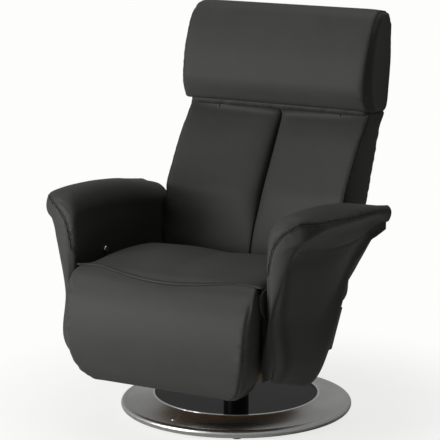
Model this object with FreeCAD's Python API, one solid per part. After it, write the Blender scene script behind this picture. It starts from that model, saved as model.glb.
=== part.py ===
import FreeCAD, Part
import math
import os

# Swivel recliner with a leg-rest, on a round disc base.
# Millimetres, +Z up, origin on the floor on the swivel axis, the sitter faces -Y.

V = FreeCAD.Vector
X_AXIS = V(1, 0, 0)
Y_AXIS = V(0, 1, 0)
Z_AXIS = V(0, 0, 1)

# Fits shared by all pieces
RUNNING_FIT = 0.05
BODY_GAP = 3.0
HOLE_PLAY = 0.5

# Disc base
BASE_R = 320.0
GLIDE_R = 14.0
GLIDE_H = 6.0
GLIDE_CHAMFER = 1.0
GLIDE_COUNT = 8
GLIDE_CIRCLE_R = BASE_R - 40.0
GLIDE_FIRST_ANGLE = -60.0
PLATE_T = 8.0
RIM_W = 20.0
RIM_H = 22.0
RIM_GAP = 2.0
RING_W = 88.0
RING_RISE = 33.0
RING_WALL = 4.0
RING_DISH = 4.0
SHELF_W = 12.0
DISC_T = 4.0
TRIM_W = 6.0
TRIM_H = 5.0
CAP_R = 15.0
CAP_H = 5.0
CAP_PROUD = 1.5
CAP_CIRCLE_R = BASE_R - 53.0
CAP_ANGLE = -98.4
SPACER_R = 12.0
SPACER_COUNT = 6

# Swivel
COLUMN_R = 35.0
COLUMN_BORE_R = 27.0
FLANGE_R = 95.0
FLANGE_T = 8.0
BUSH_L = 30.0
SPINDLE_R = 22.0
SPINDLE_RISE = 42.0
SPINDLE_FLANGE_R = 60.0
WASHER_T = 4.0
MOUNT_PLATE = 240.0
MOUNT_PLATE_T = 8.0
MOUNT_BOLT_IN = 25.0
RETAINER_T = 2.5
RETAINER_DEPTH = 2.0
BOLT_R = 4.0
BOLT_HEAD_R = 7.5
BOLT_HEAD_H = 5.5

# Seat box of plywood
BOX_BOTTOM_Z = 190.0
BOX_H = 138.0
BOX_TOP_Z = BOX_BOTTOM_Z + BOX_H
BOX_HALF_W = 258.0
BOX_L = 386.0
BOX_FRONT_Y = -318.0
BOX_REAR_Y = BOX_FRONT_Y + BOX_L
PLY_T = 18.0
REAR_T = 12.0
NOTCH_HALF_W = 25.0
NOTCH_H = 60.0
NOTCH_ROOF = 15.0
STRAP_T = 3.0
STRAP_W = 50.0
STRAP_COUNT = 5

# Seat cushion
SEAT_OVERHANG = 8.0
SEAT_HALF_W = BOX_HALF_W + SEAT_OVERHANG
SEAT_FRONT_Z = BOX_TOP_Z + 125.0
SEAT_CROWN_Z = SEAT_FRONT_Z + 14.0
SEAT_CROWN_Y = BOX_FRONT_Y + 148.0
SEAT_REAR_Z = SEAT_FRONT_Z - 40.0
SEAT_REAR_Y = BOX_REAR_Y - 8.0
SEAT_PUFF = 14.0

# Leg-rest
LEG_PIVOT_Y = BOX_FRONT_Y - 39.0
LEG_PIVOT_Z = BOX_TOP_Z + 86.0
LEG_ROLL_R = 38.0
LEG_HALF_W = SEAT_HALF_W + 4.0
LEG_FRONT_HALF_W = LEG_HALF_W + 19.0
LEG_TAPER = 42.0
LEG_FOOT_HALF_W = LEG_HALF_W - LEG_TAPER
LEG_DROP = 271.0
LEG_BOTTOM_Z = LEG_PIVOT_Z - LEG_DROP
LEG_WIDEST_Z = LEG_PIVOT_Z - 114.0
LEG_BELLY_Z = LEG_PIVOT_Z - 89.0
LEG_SHIN_Z = LEG_PIVOT_Z - 199.0
LEG_FRONT_Y = LEG_PIVOT_Y - 79.0
LEG_BACK_Y = LEG_PIVOT_Y + 22.0
LEG_PUFF = 16.0
SHAFT_R = 10.0
LEG_TUBE_WALL = 3.0
LEG_BUSH_WALL = 4.0
LEG_BUSH_L = 30.0
LEG_ARM_X = 150.0
LEG_ARM_W = 25.0
LEG_ARM_T = 5.0
LEG_BOARD_T = 12.0
LEG_BOARD_IN = 30.0
LEG_SCREW_R = 2.5
BRACKET_T = 8.0
BRACKET_FOOT_W = 50.0

# Back
BACK_PIVOT_Y = BOX_REAR_Y + 44.0
BACK_PIVOT_Z = BOX_TOP_Z + 26.0
BACK_KNUCKLE_R = 44.0
BACK_TILT = 25.0
BACK_HALF_W = BOX_HALF_W + 23.0
BACK_GROOVE_HALF_W = 2.0
BACK_PUFF = 32.0
HINGE_PLATE_T = 6.0
HINGE_EYE_R = 20.0
PIVOT_PIN_R = 8.0
PIVOT_HEAD_R = 13.0
PIVOT_HEAD_T = 4.0
PIVOT_BUSH_WALL = 3.0
STILE_T = 12.0
STILE_X = BOX_HALF_W - 10.0 - STILE_T
STILE_W = 34.0
STILE_L = 430.0
STILE_FOOT = 10.0
LEVER_X = 70.0
FRAME_D = 8.0
RAIL_W = 25.0
LOW_RAIL_S = 14.0
BACK_BOARD_T = 6.0
BACK_BOARD_S = 70.0
BACK_STRAP_COUNT = 4
BACK_STRAP_PITCH = 85.0

# Head
HEAD_PIVOT_Y = BACK_PIVOT_Y + 127.0
HEAD_PIVOT_Z = BACK_PIVOT_Z + 468.0
HEAD_HALF_W = BACK_HALF_W + 16.0
HEAD_H = 273.0
HEAD_TOP_Z = HEAD_PIVOT_Z + HEAD_H
HEAD_BROW_Z = HEAD_PIVOT_Z + 108.0
HEAD_FACE_Z = HEAD_PIVOT_Z + 188.0
HEAD_PUFF = 26.0
HEAD_HINGE_X = 190.0
HEAD_HINGE_T = 5.0
HEAD_HINGE_R = 9.0
HEAD_HINGE_GAP = 0.3
HEAD_HINGE_ROOM = 12.0
HEAD_PIN_R = 3.0
HEAD_BOARD_T = 12.0
HEAD_BOARD_IN = 60.0

# Arms
ARM_INNER_X = SEAT_HALF_W + 22.0
ARM_OUTER_X = ARM_INNER_X + 46.0
ARM_LIP_X = ARM_INNER_X + 127.0
ARM_CREASE_X = ARM_INNER_X + 72.0
ARM_FRAME_IN = 8.0
ARM_FRAME_T = 15.0
ARM_BLOCK_W = 60.0
ARM_BLOCK_H = 44.0
ARM_BLOCK_YS = (BOX_FRONT_Y + 118.0, BOX_FRONT_Y + 198.0)
ARM_BLOCK_Z = BOX_BOTTOM_Z + 110.0

# Gas springs
SPRING_R = 11.0
SPRING_BORE_R = 9.0
ROD_R = 5.0
SPRING_END_L = 12.0
PISTON_L = 8.0
EYE_R = 10.0
EYE_T = 12.0
EYE_PIN_R = 4.0
FORK_T = 3.0
FORK_GAP = 1.5
SPRING_NECK = 18.0
SPRING_FOOT_RISE = 20.0
LEG_SPRING_X = -70.0
LEG_SPRING_FOOT_Y = BOX_FRONT_Y + 238.0
LEG_SPRING_TUBE_L = 172.0
LEG_SPRING_ROD_L = 238.0
BACK_SPRING_FOOT_Y = BOX_FRONT_Y + 118.0
BACK_SPRING_TUBE_L = 150.0
BACK_SPRING_ROD_L = 144.0
LEG_LEVER = (22.0, -100.0)
BACK_LEVER = (-34.0, -68.0)

# Release button
BUTTON_Y = BOX_FRONT_Y + 100.0
BUTTON_Z = BOX_TOP_Z + 134.0
BUTTON_R = 9.0
BUTTON_PROUD = 6.0
BUTTON_TRAVEL = 3.0
HOUSING_R = 13.0
HOUSING_L = 22.0
HOUSING_LIP = 1.5

os.makedirs("parts", exist_ok=True)


def save(name, *shapes):
    solids = []
    for shape in shapes:
        solids.extend(shape.Solids)
    body = solids[0] if len(solids) == 1 else Part.makeCompound(solids)
    if not body.isValid():
        print("not valid:", name)
    body.exportStep("parts/" + name + ".step")
    print("%-32s %2d solids %10.0f mm3" % (name, len(solids), body.Volume))


def block(x0, x1, y0, y1, z0, z1):
    return Part.makeBox(x1 - x0, y1 - y0, z1 - z0, V(x0, y0, z0))


def rod_z(x, y, r, z0, z1):
    return Part.makeCylinder(r, z1 - z0, V(x, y, z0), Z_AXIS)


def rod_x(y, z, r, x0, x1):
    return Part.makeCylinder(r, x1 - x0, V(x0, y, z), X_AXIS)


def tube_z(outer_r, inner_r, z0, z1):
    return rod_z(0, 0, outer_r, z0, z1).cut(rod_z(0, 0, inner_r, z0 - 1, z1 + 1))


def tube_x(y, z, outer_r, inner_r, x0, x1):
    return rod_x(y, z, outer_r, x0, x1).cut(rod_x(y, z, inner_r, x0 - 1, x1 + 1))


def closed_wire(steps, place):
    # steps: the first is a point; then (end,) for a line or (middle, end) for an arc
    edges = []
    here = place(steps[0])
    for step in steps[1:]:
        points = [place(p) for p in step]
        if len(points) == 1:
            edges.append(Part.LineSegment(here, points[0]).toShape())
        else:
            edges.append(Part.Arc(here, points[0], points[1]).toShape())
        here = points[-1]
    return Part.Wire(edges)


def in_yz(x):
    return lambda p: V(x, p[0], p[1])


def in_xz(y):
    return lambda p: V(p[0], y, p[1])


def slab_x(steps, x0, x1):
    return Part.Face(closed_wire(steps, in_yz(x0))).extrude(V(x1 - x0, 0, 0))


def slab_y(steps, y0, y1):
    return Part.Face(closed_wire(steps, in_xz(y0))).extrude(V(0, y1 - y0, 0))


def turned_z(steps):
    face = Part.Face(closed_wire(steps, lambda p: V(p[0], 0, p[1])))
    return face.revolve(V(0, 0, 0), Z_AXIS, 360)


def skin(wires):
    return Part.makeLoft(wires, True, True)


def mirrored(shape):
    return shape.mirror(V(0, 0, 0), X_AXIS)


def cut_all(shape, tools):
    for tool in tools:
        shape = shape.cut(tool)
    return shape


def corners(points):
    # a closed polygon as the steps of closed_wire
    return [points[0]] + [(p,) for p in points[1:]] + [(points[0],)]


def lever_end(pivot_y, pivot_z, lever):
    return pivot_y + lever[0], pivot_z + lever[1]


# Disc base

PLATE_Z = GLIDE_H
PLATE_TOP_Z = PLATE_Z + PLATE_T
PLATE_R = BASE_R - RIM_W
RING_INNER_R = BASE_R - RING_W
RIM_BOTTOM_Z = GLIDE_H + RIM_GAP
RIM_TOP_Z = RIM_BOTTOM_Z + RIM_H
RING_TOP_Z = PLATE_TOP_Z + RING_RISE
DISC_TOP_Z = RING_TOP_Z - RING_WALL
DISC_Z = DISC_TOP_Z - DISC_T


def around(count, radius, first):
    for i in range(count):
        a = math.radians(first + 360.0 * i / count)
        yield radius * math.cos(a), radius * math.sin(a)


def glide(x, y):
    foot = rod_z(x, y, GLIDE_R, 0, GLIDE_H)
    lowest = [e for e in foot.Edges if e.BoundBox.ZMax < 0.1]
    return foot.makeChamfer(GLIDE_CHAMFER, lowest)


def hex_bolt(x, y, z_face, length):
    head = rod_z(x, y, BOLT_HEAD_R, z_face, z_face + BOLT_HEAD_H)
    hexagon = [V(x + dx, y + dy, z_face) for dx, dy in around(6, BOLT_HEAD_R, 0)]
    prism = Part.Face(Part.makePolygon(hexagon + hexagon[:1]))
    head = head.common(prism.extrude(V(0, 0, BOLT_HEAD_H)))
    return head.fuse(rod_z(x, y, BOLT_R, z_face - length, z_face))


def ring_slope(r):
    # height of the ring's dished top at radius r, on its arc
    span = PLATE_R - RING_INNER_R
    t = (r - RING_INNER_R) / span
    chord = RING_TOP_Z + (RIM_TOP_Z - 1 - RING_TOP_Z) * t
    return chord - 4 * RING_DISH * t * (1 - t)


def cap_place():
    a = math.radians(CAP_ANGLE)
    slope = math.atan2(RING_TOP_Z - RIM_TOP_Z, PLATE_R - RING_INNER_R)
    normal = V(math.sin(slope) * math.cos(a), math.sin(slope) * math.sin(a), math.cos(slope))
    seat = V(CAP_CIRCLE_R * math.cos(a), CAP_CIRCLE_R * math.sin(a), ring_slope(CAP_CIRCLE_R))
    return seat, normal


def base_ring():
    mid = (RING_INNER_R + PLATE_R) / 2
    rim_mid_z = (RIM_TOP_Z + RIM_BOTTOM_Z) / 2
    shelf_r = PLATE_R - SHELF_W
    wall = turned_z([
        (RING_INNER_R, RING_TOP_Z),
        ((mid, ring_slope(mid)), (PLATE_R + 4, RIM_TOP_Z - 1)),
        ((BASE_R, rim_mid_z), (PLATE_R + 9, RIM_BOTTOM_Z)),
        ((PLATE_R + HOLE_PLAY, RIM_BOTTOM_Z),),
        ((PLATE_R + HOLE_PLAY, PLATE_TOP_Z),),
        ((shelf_r, PLATE_TOP_Z),),
        ((shelf_r, RIM_TOP_Z - RING_WALL),),
        ((mid, ring_slope(mid) - RING_WALL), (RING_INNER_R, DISC_TOP_Z)),
        ((RING_INNER_R, RING_TOP_Z),)])
    seat, normal = cap_place()
    return wall.cut(Part.makeCylinder(CAP_R, 3 * CAP_H, seat - normal * 2 * CAP_H, normal))


def base_cap():
    seat, normal = cap_place()
    cap = Part.makeCylinder(CAP_R, CAP_H + CAP_PROUD, seat - normal * CAP_H, normal)
    rim = [e for e in cap.Edges if abs((e.CenterOfMass - seat).dot(normal) - CAP_PROUD) < 0.1]
    return cap.makeFillet(0.8 * CAP_PROUD, rim[:1])


COLUMN_Z = PLATE_TOP_Z + FLANGE_T
BEARING_Z = BOX_BOTTOM_Z - MOUNT_PLATE_T - FLANGE_T
WASHER_Z = BEARING_Z - WASHER_T
SPINDLE_END_Z = PLATE_TOP_Z + SPINDLE_RISE
BOLT_CIRCLE_R = FLANGE_R - 20


def make_base():
    glides = [glide(x, y) for x, y in around(GLIDE_COUNT, GLIDE_CIRCLE_R, GLIDE_FIRST_ANGLE)]
    save("base_glides", glide(0, 0), *glides)
    bolts = list(around(SPACER_COUNT, BOLT_CIRCLE_R, 0))
    plate = rod_z(0, 0, PLATE_R, PLATE_Z, PLATE_TOP_Z)
    flange = rod_z(0, 0, FLANGE_R, PLATE_TOP_Z, COLUMN_Z)
    for x, y in bolts:
        plate = plate.cut(rod_z(x, y, BOLT_R, PLATE_Z, PLATE_TOP_Z))
        flange = flange.cut(rod_z(x, y, BOLT_R, PLATE_TOP_Z, COLUMN_Z))
    save("base_plate", plate)
    save("base_ring", base_ring())
    save("base_cap", base_cap())
    disc = rod_z(0, 0, RING_INNER_R, DISC_Z, DISC_TOP_Z)
    save("base_centre_disc", disc.cut(rod_z(0, 0, COLUMN_R + HOLE_PLAY, DISC_Z, DISC_TOP_Z)))
    trim = tube_z(RING_INNER_R, RING_INNER_R - TRIM_W, DISC_TOP_Z, DISC_TOP_Z + TRIM_H)
    save("base_trim_ring", trim)
    spacers = [rod_z(x, y, SPACER_R, PLATE_TOP_Z, DISC_Z)
               for x, y in around(SPACER_COUNT, RING_INNER_R - 2 * SPACER_R, 30)]
    save("disc_spacers", *spacers)
    pipe = rod_z(0, 0, COLUMN_R, PLATE_TOP_Z, WASHER_Z).fuse(flange)
    save("swivel_column", pipe.cut(rod_z(0, 0, COLUMN_BORE_R, PLATE_TOP_Z, WASHER_Z)))
    save("column_bolts", *[hex_bolt(x, y, COLUMN_Z, FLANGE_T + PLATE_T) for x, y in bolts])
    bush_r = SPINDLE_R + RUNNING_FIT
    lower_z = SPINDLE_END_Z + RETAINER_T + 6
    save("column_bushes", tube_z(COLUMN_BORE_R, bush_r, lower_z, lower_z + BUSH_L),
         tube_z(COLUMN_BORE_R, bush_r, WASHER_Z - BUSH_L, WASHER_Z))
    save("thrust_washer", tube_z(COLUMN_R, bush_r, WASHER_Z, BEARING_Z - RUNNING_FIT))


def make_swivel_head():
    spindle = rod_z(0, 0, SPINDLE_R, SPINDLE_END_Z, BEARING_Z)
    spindle = spindle.fuse(rod_z(0, 0, SPINDLE_FLANGE_R, BEARING_Z, BEARING_Z + FLANGE_T))
    groove_z = SPINDLE_END_Z + 5
    groove_r = SPINDLE_R - RETAINER_DEPTH
    groove = tube_z(SPINDLE_R, groove_r, groove_z, groove_z + RETAINER_T)
    save("swivel_spindle", spindle.cut(groove))
    retainer = tube_z(SPINDLE_R + 3, groove_r, groove_z, groove_z + RETAINER_T)
    save("spindle_retaining_ring", retainer)
    half = MOUNT_PLATE / 2
    plate_z = BEARING_Z + FLANGE_T
    plate = block(-half, half, -half, half / 2, plate_z, BOX_BOTTOM_Z)
    reach = half - MOUNT_BOLT_IN
    holes = [(x, y) for x in (-reach, reach) for y in (-reach, half / 2 - MOUNT_BOLT_IN)]
    bolts = []
    for x, y in holes:
        plate = plate.cut(rod_z(x, y, BOLT_R, plate_z, BOX_BOTTOM_Z))
        bolt = hex_bolt(x, y, 0, MOUNT_PLATE_T + PLY_T)
        bolt.rotate(V(x, y, 0), X_AXIS, 180)
        bolt.translate(V(0, 0, plate_z))
        bolts.append(bolt)
    save("seat_mounting_plate", plate)
    save("mounting_bolts", *bolts)
    return holes


# Seat box

FLOOR_Z = BOX_BOTTOM_Z + PLY_T
SPRING_FOOT_Z = FLOOR_Z + SPRING_FOOT_RISE
REAR_TOP_Y = BACK_PIVOT_Y + 18
REAR_TOP_Z = BACK_PIVOT_Z - 60
ARM_BLOCK_X = ARM_INNER_X + ARM_FRAME_IN


def side_panel_outline():
    return corners([(BOX_FRONT_Y, BOX_BOTTOM_Z), (BOX_REAR_Y, BOX_BOTTOM_Z), (REAR_TOP_Y, REAR_TOP_Z),
                    (BACK_PIVOT_Y - 8, BACK_PIVOT_Z - 56), (BACK_PIVOT_Y - 50, BOX_TOP_Z - 14),
                    (SEAT_REAR_Y - 6, BOX_TOP_Z), (BOX_FRONT_Y, BOX_TOP_Z)])


def rear_panel():
    dy = REAR_TOP_Y - BOX_REAR_Y
    dz = REAR_TOP_Z - BOX_BOTTOM_Z
    inset = REAR_T * math.hypot(dy, dz) / dz
    start = BOX_REAR_Y + dy * PLY_T / dz
    outline = corners([(start, FLOOR_Z), (REAR_TOP_Y, REAR_TOP_Z),
                       (REAR_TOP_Y - inset, REAR_TOP_Z), (start - inset, FLOOR_Z)])
    return slab_x(outline, -BOX_HALF_W + PLY_T, BOX_HALF_W - PLY_T)


def arm_bolt_holes():
    return [rod_x(y, ARM_BLOCK_Z, BOLT_R, -ARM_OUTER_X, ARM_OUTER_X) for y in ARM_BLOCK_YS]


def make_seat_box(mount_holes):
    inner = BOX_HALF_W - PLY_T
    bottom = block(-inner, inner, BOX_FRONT_Y + PLY_T, BOX_REAR_Y, BOX_BOTTOM_Z, FLOOR_Z)
    for x, y in mount_holes:
        bottom = bottom.cut(rod_z(x, y, BOLT_R, BOX_BOTTOM_Z, FLOOR_Z))
    save("seat_box_bottom", bottom)
    side = slab_x(side_panel_outline(), inner, BOX_HALF_W)
    for hole in arm_bolt_holes():
        side = side.cut(hole)
    save("seat_side_panel_left", side)
    save("seat_side_panel_right", mirrored(side))
    front = block(-inner, inner, BOX_FRONT_Y, BOX_FRONT_Y + PLY_T, BOX_BOTTOM_Z, BOX_TOP_Z)
    notch = block(LEG_SPRING_X - NOTCH_HALF_W, LEG_SPRING_X + NOTCH_HALF_W,
                  BOX_FRONT_Y, BOX_FRONT_Y + PLY_T, BOX_TOP_Z - NOTCH_H, BOX_TOP_Z)
    save("seat_front_panel", front.cut(notch))
    save("seat_rear_panel", rear_panel())
    straps = []
    pitch = (SEAT_REAR_Y - 60 - BOX_FRONT_Y) / STRAP_COUNT
    for i in range(STRAP_COUNT):
        y = BOX_FRONT_Y + 10 + i * pitch
        strap = block(-BOX_HALF_W, BOX_HALF_W, y, y + STRAP_W, BOX_TOP_Z, BOX_TOP_Z + STRAP_T)
        straps.append(strap)
    save("seat_webbing", *straps)


def seat_profile(puff, z_drop, front_in):
    bottom = BOX_TOP_Z + STRAP_T
    front = LEG_PIVOT_Y + 2 + front_in
    return [
        (front, bottom + 20),
        ((front, SEAT_FRONT_Z - 22 - z_drop),),
        ((front + 8, SEAT_FRONT_Z - 6 - z_drop), (front + 26, SEAT_FRONT_Z + 2 - z_drop)),
        ((SEAT_CROWN_Y, SEAT_CROWN_Z - SEAT_PUFF / 2 + puff - z_drop),
         (SEAT_REAR_Y - 34, SEAT_REAR_Z + 14 - z_drop)),
        ((SEAT_REAR_Y - 8, SEAT_REAR_Z - z_drop), (SEAT_REAR_Y - 2, SEAT_REAR_Z - 26 - z_drop)),
        ((SEAT_REAR_Y - 4, bottom + 16),),
        ((SEAT_REAR_Y - 9, bottom + 5), (SEAT_REAR_Y - 20, bottom)),
        ((front + 40, bottom),),
        ((front, bottom + 20),)]


def seat_cushion():
    # station: x, puff of the crown, drop at the end, how far the front is drawn in
    quarter = 156.0
    stations = [(-SEAT_HALF_W, -6, 16, 6), (-SEAT_HALF_W + 14, 0, 5, 1), (-SEAT_HALF_W + 50, 4, 0, 0),
                (-SEAT_HALF_W + quarter, SEAT_PUFF / 2, 0, 0), (0, SEAT_PUFF / 2 - 3, 3, -2)]
    stations += [(-x, p, d, f) for x, p, d, f in reversed(stations[:-1])]
    pad = skin([closed_wire(seat_profile(p, d, f), in_yz(x)) for x, p, d, f in stations])
    scoop = rod_x(LEG_PIVOT_Y, LEG_PIVOT_Z, LEG_ROLL_R + BODY_GAP, -ARM_INNER_X, ARM_INNER_X)
    below = block(-ARM_INNER_X, ARM_INNER_X, LEG_PIVOT_Y - 40, BOX_FRONT_Y - 2, BOX_TOP_Z, LEG_PIVOT_Z)
    rod_room = block(LEG_SPRING_X - NOTCH_HALF_W, LEG_SPRING_X + NOTCH_HALF_W,
                     LEG_PIVOT_Y - 40, BOX_FRONT_Y + 2 * PLY_T, BOX_TOP_Z, BOX_TOP_Z + NOTCH_ROOF)
    return cut_all(pad, [scoop, below, rod_room])


# Leg-rest

TUBE_R = SHAFT_R + RUNNING_FIT + LEG_BUSH_WALL + LEG_TUBE_WALL
BRACKET_X = SEAT_HALF_W + 4.0
BRACKET_END = 21.0
LEG_BOARD_Y = LEG_BACK_Y - LEG_BOARD_IN
SHAFT_END_X = BRACKET_X + BRACKET_T


def legrest_outline():
    w = LEG_FRONT_HALF_W
    a = [(w - 19, LEG_PIVOT_Z + LEG_ROLL_R + 1), (w - 5.5, LEG_PIVOT_Z - 14), (w, LEG_WIDEST_Z + 22),
         (w - 4, LEG_WIDEST_Z - 48), (w - 21, LEG_BOTTOM_Z + 51),
         (w - 42, LEG_BOTTOM_Z + 17), (w - 86, LEG_BOTTOM_Z)]
    b = [(-x, z) for x, z in a]
    return [b[0], (b[1], b[2]), (b[3], b[4]), (b[5], b[6]), (a[6],),
            (a[5], a[4]), (a[3], a[2]), (a[1], a[0]), (b[0],)]


def legrest_side_room():
    # behind its wide front panel the cushion is narrow enough to pass the brackets
    y = LEG_PIVOT_Y - BRACKET_END
    x = SEAT_HALF_W
    depth = 0.75 * LEG_TAPER + 10
    wide = LEG_FRONT_HALF_W + 10
    plan = [(x, y), (wide, y - depth), (wide, LEG_BACK_Y + 60), (x, LEG_BACK_Y + 60), (x, y)]
    room = Part.Face(Part.makePolygon([V(px, py, LEG_BOTTOM_Z - 5) for px, py in plan]))
    room = room.extrude(V(0, 0, LEG_DROP + LEG_ROLL_R + 10))
    return [room, mirrored(room)]


def legrest_profile(inset):
    y = LEG_PIVOT_Y
    z = LEG_PIVOT_Z
    r = LEG_ROLL_R
    c = r * math.sqrt(0.5)
    eighth = math.radians(22.5)
    front = LEG_FRONT_Y + inset
    return [
        (y, z + r),
        ((y - c, z + c), (y - r, z)),
        ((front + 16, z - 32), (front, LEG_BELLY_Z)),
        ((front - 4, LEG_BELLY_Z - 61), (front + 4, LEG_SHIN_Z)),
        ((front + 26, LEG_BOTTOM_Z + 22), (LEG_BACK_Y - 40, LEG_BOTTOM_Z)),
        ((LEG_BACK_Y - 12, LEG_BOTTOM_Z + 8), (LEG_BACK_Y, LEG_BOTTOM_Z + 40)),
        ((LEG_BACK_Y, z - 50),),
        ((LEG_BACK_Y + 4, z - 34), (y + c, z - c)),
        ((y + r, z), (y + c, z + c)),
        ((y + r * math.sin(eighth), z + r * math.cos(eighth)), (y, z + r))]


def legrest_cushion():
    # station: x, how far the front is drawn in
    w = LEG_FRONT_HALF_W
    stations = [(-w - 3, LEG_PUFF), (-w + 12, LEG_PUFF - 11), (-w + 50, 1), (0, 0)]
    stations += [(-x, i) for x, i in reversed(stations[:-1])]
    pad = skin([closed_wire(legrest_profile(i), in_yz(x)) for x, i in stations])
    pad = pad.common(slab_y(legrest_outline(), LEG_FRONT_Y - 20, LEG_BACK_Y + 60))
    return cut_all(pad, legrest_side_room())


def legrest_board():
    half_w = LEG_FOOT_HALF_W - 30
    return block(-half_w, half_w, LEG_BOARD_Y, LEG_BOARD_Y + LEG_BOARD_T,
                 LEG_BOTTOM_Z + 55, LEG_PIVOT_Z - 55)


def legrest_arm(x):
    y1 = LEG_BOARD_Y + LEG_BOARD_T
    x1 = x + LEG_ARM_W
    y2 = y1 + LEG_ARM_T
    arm = block(x, x1, y1, y2, LEG_PIVOT_Z - 150, LEG_PIVOT_Z - 12)
    lug = block(x, x1, LEG_PIVOT_Y - 6, y2, LEG_PIVOT_Z - 22, LEG_PIVOT_Z - 12)
    return arm.fuse(lug).cut(rod_x(LEG_PIVOT_Y, LEG_PIVOT_Z, TUBE_R, x, x1))


def legrest_screw(x, z):
    face = V(x, LEG_BOARD_Y + LEG_BOARD_T + LEG_ARM_T, z)
    head = Part.makeCylinder(2 * LEG_SCREW_R, LEG_SCREW_R, face, Y_AXIS)
    shank_l = LEG_ARM_T + LEG_BOARD_T - 2
    return head.fuse(Part.makeCylinder(LEG_SCREW_R, shank_l, face, Y_AXIS * -1))


def leg_pocket():
    y1 = LEG_BOARD_Y + LEG_BOARD_T
    half_w = NOTCH_HALF_W + 1
    return block(LEG_SPRING_X - half_w, LEG_SPRING_X + half_w, y1, LEG_BACK_Y + 5,
                 LEG_PIVOT_Z - 140, LEG_PIVOT_Z - 46)


def make_legrest_inside():
    screw_x = LEG_ARM_X + LEG_ARM_W / 2
    screws = [legrest_screw(x, z) for x in (screw_x, -screw_x)
              for z in (LEG_PIVOT_Z - 135, LEG_PIVOT_Z - 75)]
    arms = [legrest_arm(LEG_ARM_X), legrest_arm(-LEG_ARM_X - LEG_ARM_W)]
    board = legrest_board()
    bore = rod_x(LEG_PIVOT_Y, LEG_PIVOT_Z, TUBE_R, -ARM_INNER_X, ARM_INNER_X)
    cushion = legrest_cushion().cut(leg_pocket())
    save("legrest_cushion", cut_all(cushion, [board, bore] + arms + screws))
    save("legrest_board", cut_all(board, screws))
    save("legrest_hinge_arms", *[cut_all(arm, screws) for arm in arms])
    save("legrest_screws", *screws)


def make_legrest_pivot():
    end = SEAT_HALF_W
    wall_r = TUBE_R - LEG_TUBE_WALL
    save("legrest_pivot_tube", tube_x(LEG_PIVOT_Y, LEG_PIVOT_Z, TUBE_R, wall_r, -end, end))
    bushes = [tube_x(LEG_PIVOT_Y, LEG_PIVOT_Z, wall_r, SHAFT_R + RUNNING_FIT, x, x + LEG_BUSH_L)
              for x in (-end, end - LEG_BUSH_L)]
    save("legrest_bushes", *bushes)
    end_y, end_z = lever_end(LEG_PIVOT_Y, LEG_PIVOT_Z, LEG_LEVER)
    y1 = LEG_BOARD_Y + LEG_BOARD_T
    forks = [block(x, x + FORK_T, y1, end_y + 9, end_z - 14, end_z + 14)
             for x in fork_places(LEG_SPRING_X)]
    save("legrest_spring_lugs", *forks)
    shaft = rod_x(LEG_PIVOT_Y, LEG_PIVOT_Z, SHAFT_R, -SHAFT_END_X, SHAFT_END_X)
    save("legrest_shaft", shaft)


def legrest_bracket():
    foot_y = BOX_FRONT_Y + BRACKET_FOOT_W
    low_z = BOX_BOTTOM_Z + 60
    high_z = BOX_TOP_Z - 10
    outline = corners([(BOX_FRONT_Y, low_z), (foot_y, low_z), (foot_y, high_z),
                       (LEG_PIVOT_Y + 22, LEG_PIVOT_Z + 12), (LEG_PIVOT_Y - 8, LEG_PIVOT_Z + 20),
                       (LEG_PIVOT_Y - BRACKET_END + 1, LEG_PIVOT_Z), (LEG_PIVOT_Y - 10, LEG_PIVOT_Z - 18),
                       (LEG_PIVOT_Y + 12, LEG_PIVOT_Z - 14), (BOX_FRONT_Y, LEG_PIVOT_Z - 74)])
    foot = block(BOX_HALF_W, BRACKET_X, BOX_FRONT_Y, foot_y, low_z, high_z)
    bracket = slab_x(outline, BRACKET_X, SHAFT_END_X).fuse(foot).removeSplitter()
    return bracket.cut(rod_x(LEG_PIVOT_Y, LEG_PIVOT_Z, SHAFT_R, 0, SHAFT_END_X))


def make_legrest():
    make_legrest_inside()
    make_legrest_pivot()
    save("legrest_bracket_left", legrest_bracket())
    save("legrest_bracket_right", mirrored(legrest_bracket()))


# Gas springs

def fork_places(x):
    inner = EYE_T / 2 + FORK_GAP
    return x - inner - FORK_T, x + inner


def gas_spring(name, x, foot, end, tube_l, rod_l):
    direction = V(0, end[0] - foot[0], end[1] - foot[1])
    reach = direction.Length
    direction.normalize()
    start = V(x, foot[0], foot[1])

    def at(distance):
        return start + direction * distance

    tube = Part.makeCylinder(SPRING_R, tube_l, at(SPRING_NECK), direction)
    neck = Part.makeCylinder(EYE_T / 2 - 1, SPRING_NECK - EYE_PIN_R, at(EYE_PIN_R + 1), direction)
    inside = at(SPRING_NECK + SPRING_END_L)
    bore = Part.makeCylinder(SPRING_BORE_R, tube_l - 2 * SPRING_END_L, inside, direction)
    rod_hole = Part.makeCylinder(ROD_R + RUNNING_FIT, tube_l, inside, direction)
    eye = rod_x(foot[0], foot[1], EYE_R, x - EYE_T / 2, x + EYE_T / 2)
    pin_hole = rod_x(foot[0], foot[1], EYE_PIN_R + RUNNING_FIT, x - EYE_T, x + EYE_T)
    save(name + "_cylinder", tube.cut(bore).cut(rod_hole).fuse(neck).fuse(eye).cut(pin_hole))
    rod = Part.makeCylinder(ROD_R, rod_l - EYE_PIN_R - 1, at(reach - rod_l), direction)
    piston = Part.makeCylinder(SPRING_BORE_R - RUNNING_FIT, PISTON_L, at(reach - rod_l), direction)
    rod_eye = rod_x(end[0], end[1], EYE_R - 2, x - EYE_T / 2, x + EYE_T / 2)
    pin_space = rod_x(end[0], end[1], EYE_PIN_R, x - EYE_T, x + EYE_T)
    save(name + "_rod", rod.fuse(piston).fuse(rod_eye).cut(pin_space))


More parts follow.
